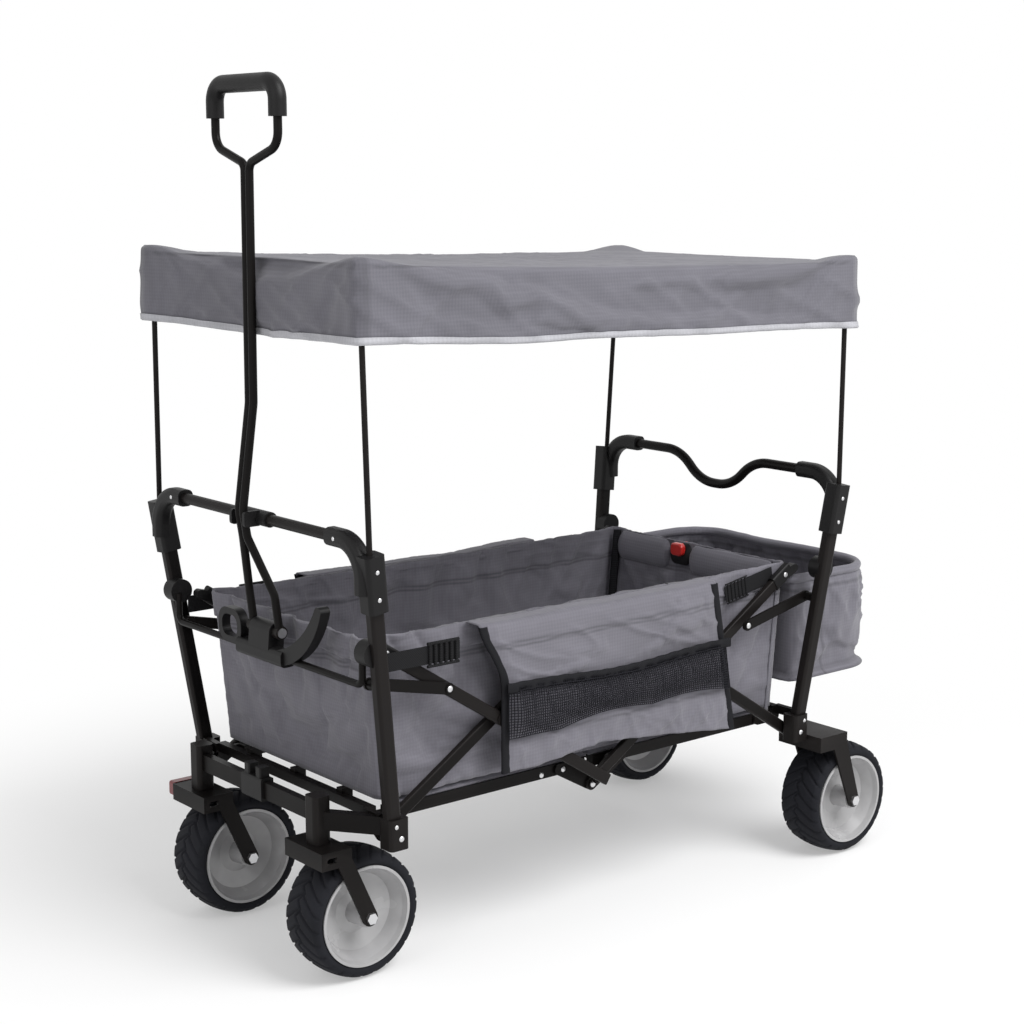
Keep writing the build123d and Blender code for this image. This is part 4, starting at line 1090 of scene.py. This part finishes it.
# Tyres with zigzag grooves between angled blocks
def tyre_piece(name, x, y):
    steps = 300
    profile = [(RIM_RADIUS, -33), (73, -35.2), (76, -37.6), (79, -38.5), (82, -TYRE_HALF), (85.5, -36.6)]
    half = 33.5
    crown = [(88.5 + 4 * (1 - (a / half) ** 2), a) for a in spread(-half, half, 41)]
    section = profile + crown + [(r, -a) for r, a in reversed(profile)]
    points = []
    for n in range(steps):
        turn = 2 * math.pi * n / steps
        for r, a in section:
            cut = 0
            if r > 84:
                block = turn / (2 * math.pi) * TYRE_BLOCKS
                zig = abs(block % 1 * 2 - 1) * 2 - 1
                lane = (block + abs(a) / 30) % 1
                lines = (abs(a - 5 * zig), min(lane, 1 - lane) * 20)
                cut = 2.8 * max(clamp(1.6 - line / 1.4, 0, 1) for line in lines)
            elif 76 < r < 81:
                cut = 0.5 * (0.5 + 0.5 * math.sin(turn * 90))
            reach = r - cut
            points.append((x + reach * math.cos(turn), y + a, TYRE_RADIUS + reach * math.sin(turn)))
    faces = []
    wide = len(section)
    for n in range(steps):
        k = (n + 1) % steps
        for i in range(wide - 1):
            faces.append((n * wide + i, n * wide + i + 1, k * wide + i + 1, k * wide + i))
    piece = add_piece(name + "_tread", name + "_wheel", tyre_rubber, points, faces)
    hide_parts(name + "_tyre")


WHEELS = {
    "front_left": (at(1, 411), 156),
    "front_right": (at(1, 411), -156),
    "rear_left": (at(-1, 503.6), 243.5),
    "rear_right": (at(-1, 503.6), -243.5),
}
for wheel, (x, y) in WHEELS.items():
    tyre_piece(wheel, x, y)


# Rivets, gathered into one piece for each body. A post's side face leans with its height
def post_side(end, height):
    share = (height - 214) / 406
    return at(end, 402 + share * 54), 246 + share * 30


def rivet_piece(name, body, spots):
    points, faces = join([dome(*spot) for spot in spots])
    add_piece(name, body, plated, points, faces)


for end, body in ((1, "front_frame"), (-1, "rear_frame")):
    spots = []
    for side in (1, -1):
        for height in (566, 604):
            x, y = post_side(end, height)
            spots.append(((x, side * (y + 14.2), height), (0, side, 0), 3.2, 1.4))
        spots.append(((at(end, 460) + end * 12.3, side * 214, 640), (end, 0, 0), 3.0, 1.3))
        spots.append(((at(end, 400), side * 262, 222), (0, side, 0), 4.2, 1.9))
        spots.append(((at(end, 408), side * 262, 240), (0, side, 0), 3.2, 1.4))
    rivet_piece(body + "_rivets", body, spots)


# Rivets at one place on both sides
def both_sides(x, y, z, radius, rise):
    return [((x, side * y, z), (0, side, 0), radius, rise) for side in (1, -1)]


rivet_piece("front_cap_rivets", "front_upper_link", both_sides(at(1, 400), 232.2, 476, 4.2, 1.8))
rivet_piece("rear_cap_rivets", "rear_upper_link", both_sides(at(-1, 400), 220.2, 476, 4.2, 1.8))
rivet_piece("front_stay_rivets", "front_stay_link", both_sides(at(1, 297.4), 238.6, 410.35, 4.6, 1.8))
rivet_piece("rear_stay_rivets", "rear_stay_link", both_sides(at(-1, 297.4), 238.6, 410.35, 4.6, 1.8))
rivet_piece(
    "front_floor_rivets",
    "front_floor",
    both_sides(at(1, 54), 198, 235.5, 4.2, 1.6)
    + both_sides(at(1, 93), 194, 233, 4.2, 1.6)
    + both_sides(at(1, 0), 204.8, 203, 5.0, 1.8),
)
rivet_piece("rear_floor_rivets", "rear_floor", both_sides(at(-1, 52), 202.2, 236, 4.2, 1.6))


# White to every ray that sees it, from the camera or in a reflection
def seen_directly(nodes, links):
    path = nodes.new("ShaderNodeLightPath")
    seen = path.outputs["Is Camera Ray"]
    for ray in ("Is Glossy Ray", "Is Transmission Ray"):
        most = nodes.new("ShaderNodeMath")
        most.operation = "MAXIMUM"
        links.new(seen, most.inputs[0])
        links.new(path.outputs[ray], most.inputs[1])
        seen = most.outputs[0]
    return seen


# Floor: pale with its shadow near the wagon, and white further out
floor = bpy.data.objects.new("floor", bpy.data.meshes.new("floor"))
bpy.context.collection.objects.link(floor)
FLOOR_REACH = 30
floor_corners = [(x * FLOOR_REACH, y * FLOOR_REACH, 0) for x, y in ((-1, -1), (1, -1), (1, 1), (-1, 1))]
floor.data.from_pydata(floor_corners, [], [(0, 1, 2, 3)])
pale, nodes, links, pale_shader = start_material("pale_floor", (0.93, 0.93, 0.93), 0.9)
socket(pale_shader, "Specular IOR Level", 0.0)
place = nodes.new("ShaderNodeTexCoord")
length = nodes.new("ShaderNodeVectorMath")
length.operation = "LENGTH"
links.new(place.outputs["Object"], length.inputs[0])
fade = level(nodes, links, length.outputs["Value"], 0.35, 1.0)
fade.interpolation_type = "SMOOTHSTEP"
socket(fade, "From Min", 0.55)
socket(fade, "From Max", 1.5)
share = nodes.new("ShaderNodeMath")
share.operation = "MULTIPLY"
links.new(seen_directly(nodes, links), share.inputs[0])
links.new(fade.outputs["Result"], share.inputs[1])
white = nodes.new("ShaderNodeEmission")
blend = nodes.new("ShaderNodeMixShader")
links.new(share.outputs[0], blend.inputs["Fac"])
links.new(pale_shader.outputs["BSDF"], blend.inputs[1])
links.new(white.outputs["Emission"], blend.inputs[2])
links.new(blend.outputs["Shader"], nodes["Material Output"].inputs["Surface"])
floor.data.materials.append(pale)

# World: white behind the object, and an even soft light on it
world = bpy.data.worlds.new("studio")
bpy.context.scene.world = world
world.use_nodes = True
nodes, links = world.node_tree.nodes, world.node_tree.links
back = nodes["Background"]
socket(back, "Color", (1, 1, 1, 1))
light_level = level(nodes, links, seen_directly(nodes, links), 0.55, 1.0)
links.new(light_level.outputs["Result"], back.inputs["Strength"])


def softbox(name, spot, target, size, power):
    lamp = bpy.data.lights.new(name, "AREA")
    lamp.shape = "DISK"
    lamp.size = size
    lamp.energy = power
    holder = bpy.data.objects.new(name, lamp)
    holder.location = spot
    holder.rotation_euler = (Vector(target) - Vector(spot)).to_track_quat("-Z", "Y").to_euler()
    bpy.context.collection.objects.link(holder)


softbox("key", (-0.5, 2.6, 3.4), (0, 0, 0.45), 2.6, 150)
softbox("fill", (3.0, 0.6, 1.8), (0, 0, 0.5), 2.2, 14)

camera = bpy.data.objects.new("camera", bpy.data.cameras.new("camera"))
bpy.context.collection.objects.link(camera)
camera.data.sensor_width = 36
camera.data.lens = 67.72
camera.location = (1.93605, 2.2947, 1.1188)
yaw, pitch = math.radians(50.646), math.radians(10.052)
look = Vector((-math.cos(yaw) * math.cos(pitch), -math.sin(yaw) * math.cos(pitch), -math.sin(pitch)))
camera.rotation_euler = look.to_track_quat("-Z", "Y").to_euler()
bpy.context.scene.camera = camera
bpy.context.scene.view_settings.view_transform = "Standard"
